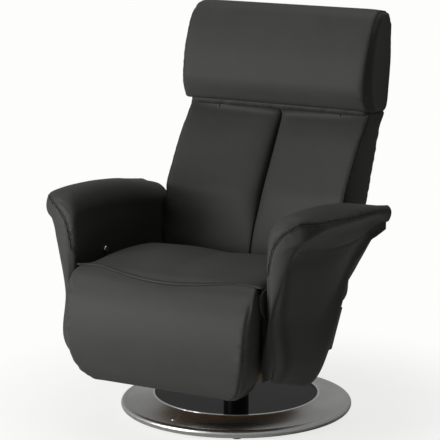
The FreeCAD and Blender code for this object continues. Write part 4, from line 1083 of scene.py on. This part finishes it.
studio = {
    "floor": (0.93, 0.93, 0.925),
    "floorHalf": 14.0,
    "white": (0.985, 0.985, 0.97),
    "clearing": (0.4, 1.0),      # distances from the axis over which the floor turns to plain white
    "glow": 0.8,      # share of plain white near the object
    "worldLight": 0.02,
    "worldGloss": 0.36,      # what polished metal sees
    "aim": (0, 0, 0.45),
    "key": {"place": (-2.3, -3.7, 2.5), "size": 2.4, "power": 76},
    "low": {"place": (-1.7, -2.8, 0.8), "size": 1.4, "power": 64},
    "fill": {"place": (3.6, -2.4, 2.2), "size": 2.4, "power": 2},
    "top": {"place": (-0.2, 0.6, 4.4), "size": 3.2, "power": 74},
}


def seenRay(tree):
    # 1 for rays that come from the camera, also through a clear surface
    path = treeNode(tree, "ShaderNodeLightPath")
    return treeNode(tree, "ShaderNodeMath",
                    {0: path.outputs["Is Camera Ray"], 1: path.outputs["Is Transmission Ray"]},
                    operation="MAXIMUM").outputs["Value"]


def addFloor():
    # a pale floor that the camera sees mixed with plain white, wholly white away from the object
    half = studio["floorHalf"]
    mesh = bpy.data.meshes.new("floor")
    mesh.from_pydata([(-half, -half, 0), (half, -half, 0), (half, half, 0), (-half, half, 0)], [],
                     [(0, 1, 2, 3)])
    material, shader = newMaterial("paleFloor", studio["floor"], 0.85, Specular_IOR_Level=0.2)
    tree = material.node_tree
    place = objectPlace(material)
    cloud = addNode(material, "ShaderNodeTexNoise", {"Vector": place, "Scale": 3.0, "Detail": 2.0})
    color = mixColors(material, cloud.outputs["Fac"], darker(studio["floor"], 0.985), studio["floor"])
    link(material, color, shader, "Base Color")
    away = addNode(material, "ShaderNodeVectorMath", {0: place}, operation="LENGTH")
    start, end = studio["clearing"]
    clear = addNode(material, "ShaderNodeMapRange",
                    {"Value": away.outputs["Value"], "From Min": start, "From Max": end,
                     "To Min": studio["glow"]},
                    interpolation_type="SMOOTHSTEP")
    share = addNode(material, "ShaderNodeMath", {0: clear.outputs["Result"], 1: seenRay(tree)},
                    operation="MULTIPLY")
    white = addNode(material, "ShaderNodeEmission", {"Color": (*studio["white"], 1)})
    mix = addNode(material, "ShaderNodeMixShader", {"Fac": share.outputs["Value"], 1: shader.outputs["BSDF"],
                                                    2: white.outputs["Emission"]})
    tree.links.new(mix.outputs["Shader"], tree.nodes["Material Output"].inputs["Surface"])
    mesh.materials.append(material)
    floor = addObject("floor", mesh)


def addLamp(name, look):
    data = bpy.data.lights.new(name, "AREA")
    data.energy, data.size = look["power"], look["size"]
    lamp = addObject(name, data)
    lamp.location = look["place"]
    lamp.rotation_euler = (Vector(studio["aim"]) - Vector(look["place"])).to_track_quat("-Z", "Y").to_euler()


def lightWorld():
    # white to the camera, a mid grey in reflections and a dark grey for the light it gives
    world = bpy.data.worlds.new("studio")
    world.use_nodes = True
    bpy.context.scene.world = world
    tree = world.node_tree
    plain = (1, 1, 1, 1)
    shade = tree.nodes["Background"]
    shade.inputs["Color"].default_value = plain
    shade.inputs["Strength"].default_value = studio["worldLight"]
    soft = treeNode(tree, "ShaderNodeBackground", {"Color": plain, "Strength": studio["worldGloss"]})
    white = treeNode(tree, "ShaderNodeBackground", {"Color": (*studio["white"], 1)})
    glossy = treeNode(tree, "ShaderNodeLightPath").outputs["Is Glossy Ray"]
    gloss = treeNode(tree, "ShaderNodeMixShader", {"Fac": glossy, 1: shade.outputs["Background"],
                                                   2: soft.outputs["Background"]})
    mix = treeNode(tree, "ShaderNodeMixShader", {"Fac": seenRay(tree), 1: gloss.outputs["Shader"],
                                                 2: white.outputs["Background"]})
    tree.links.new(mix.outputs["Shader"], tree.nodes["World Output"].inputs["Surface"])


aimCamera()
addFloor()
lightWorld()
for lampName in ("key", "low", "fill", "top"):
    addLamp(lampName, studio[lampName])
bpy.context.scene.view_settings.view_transform = "Standard"
print("stage set")
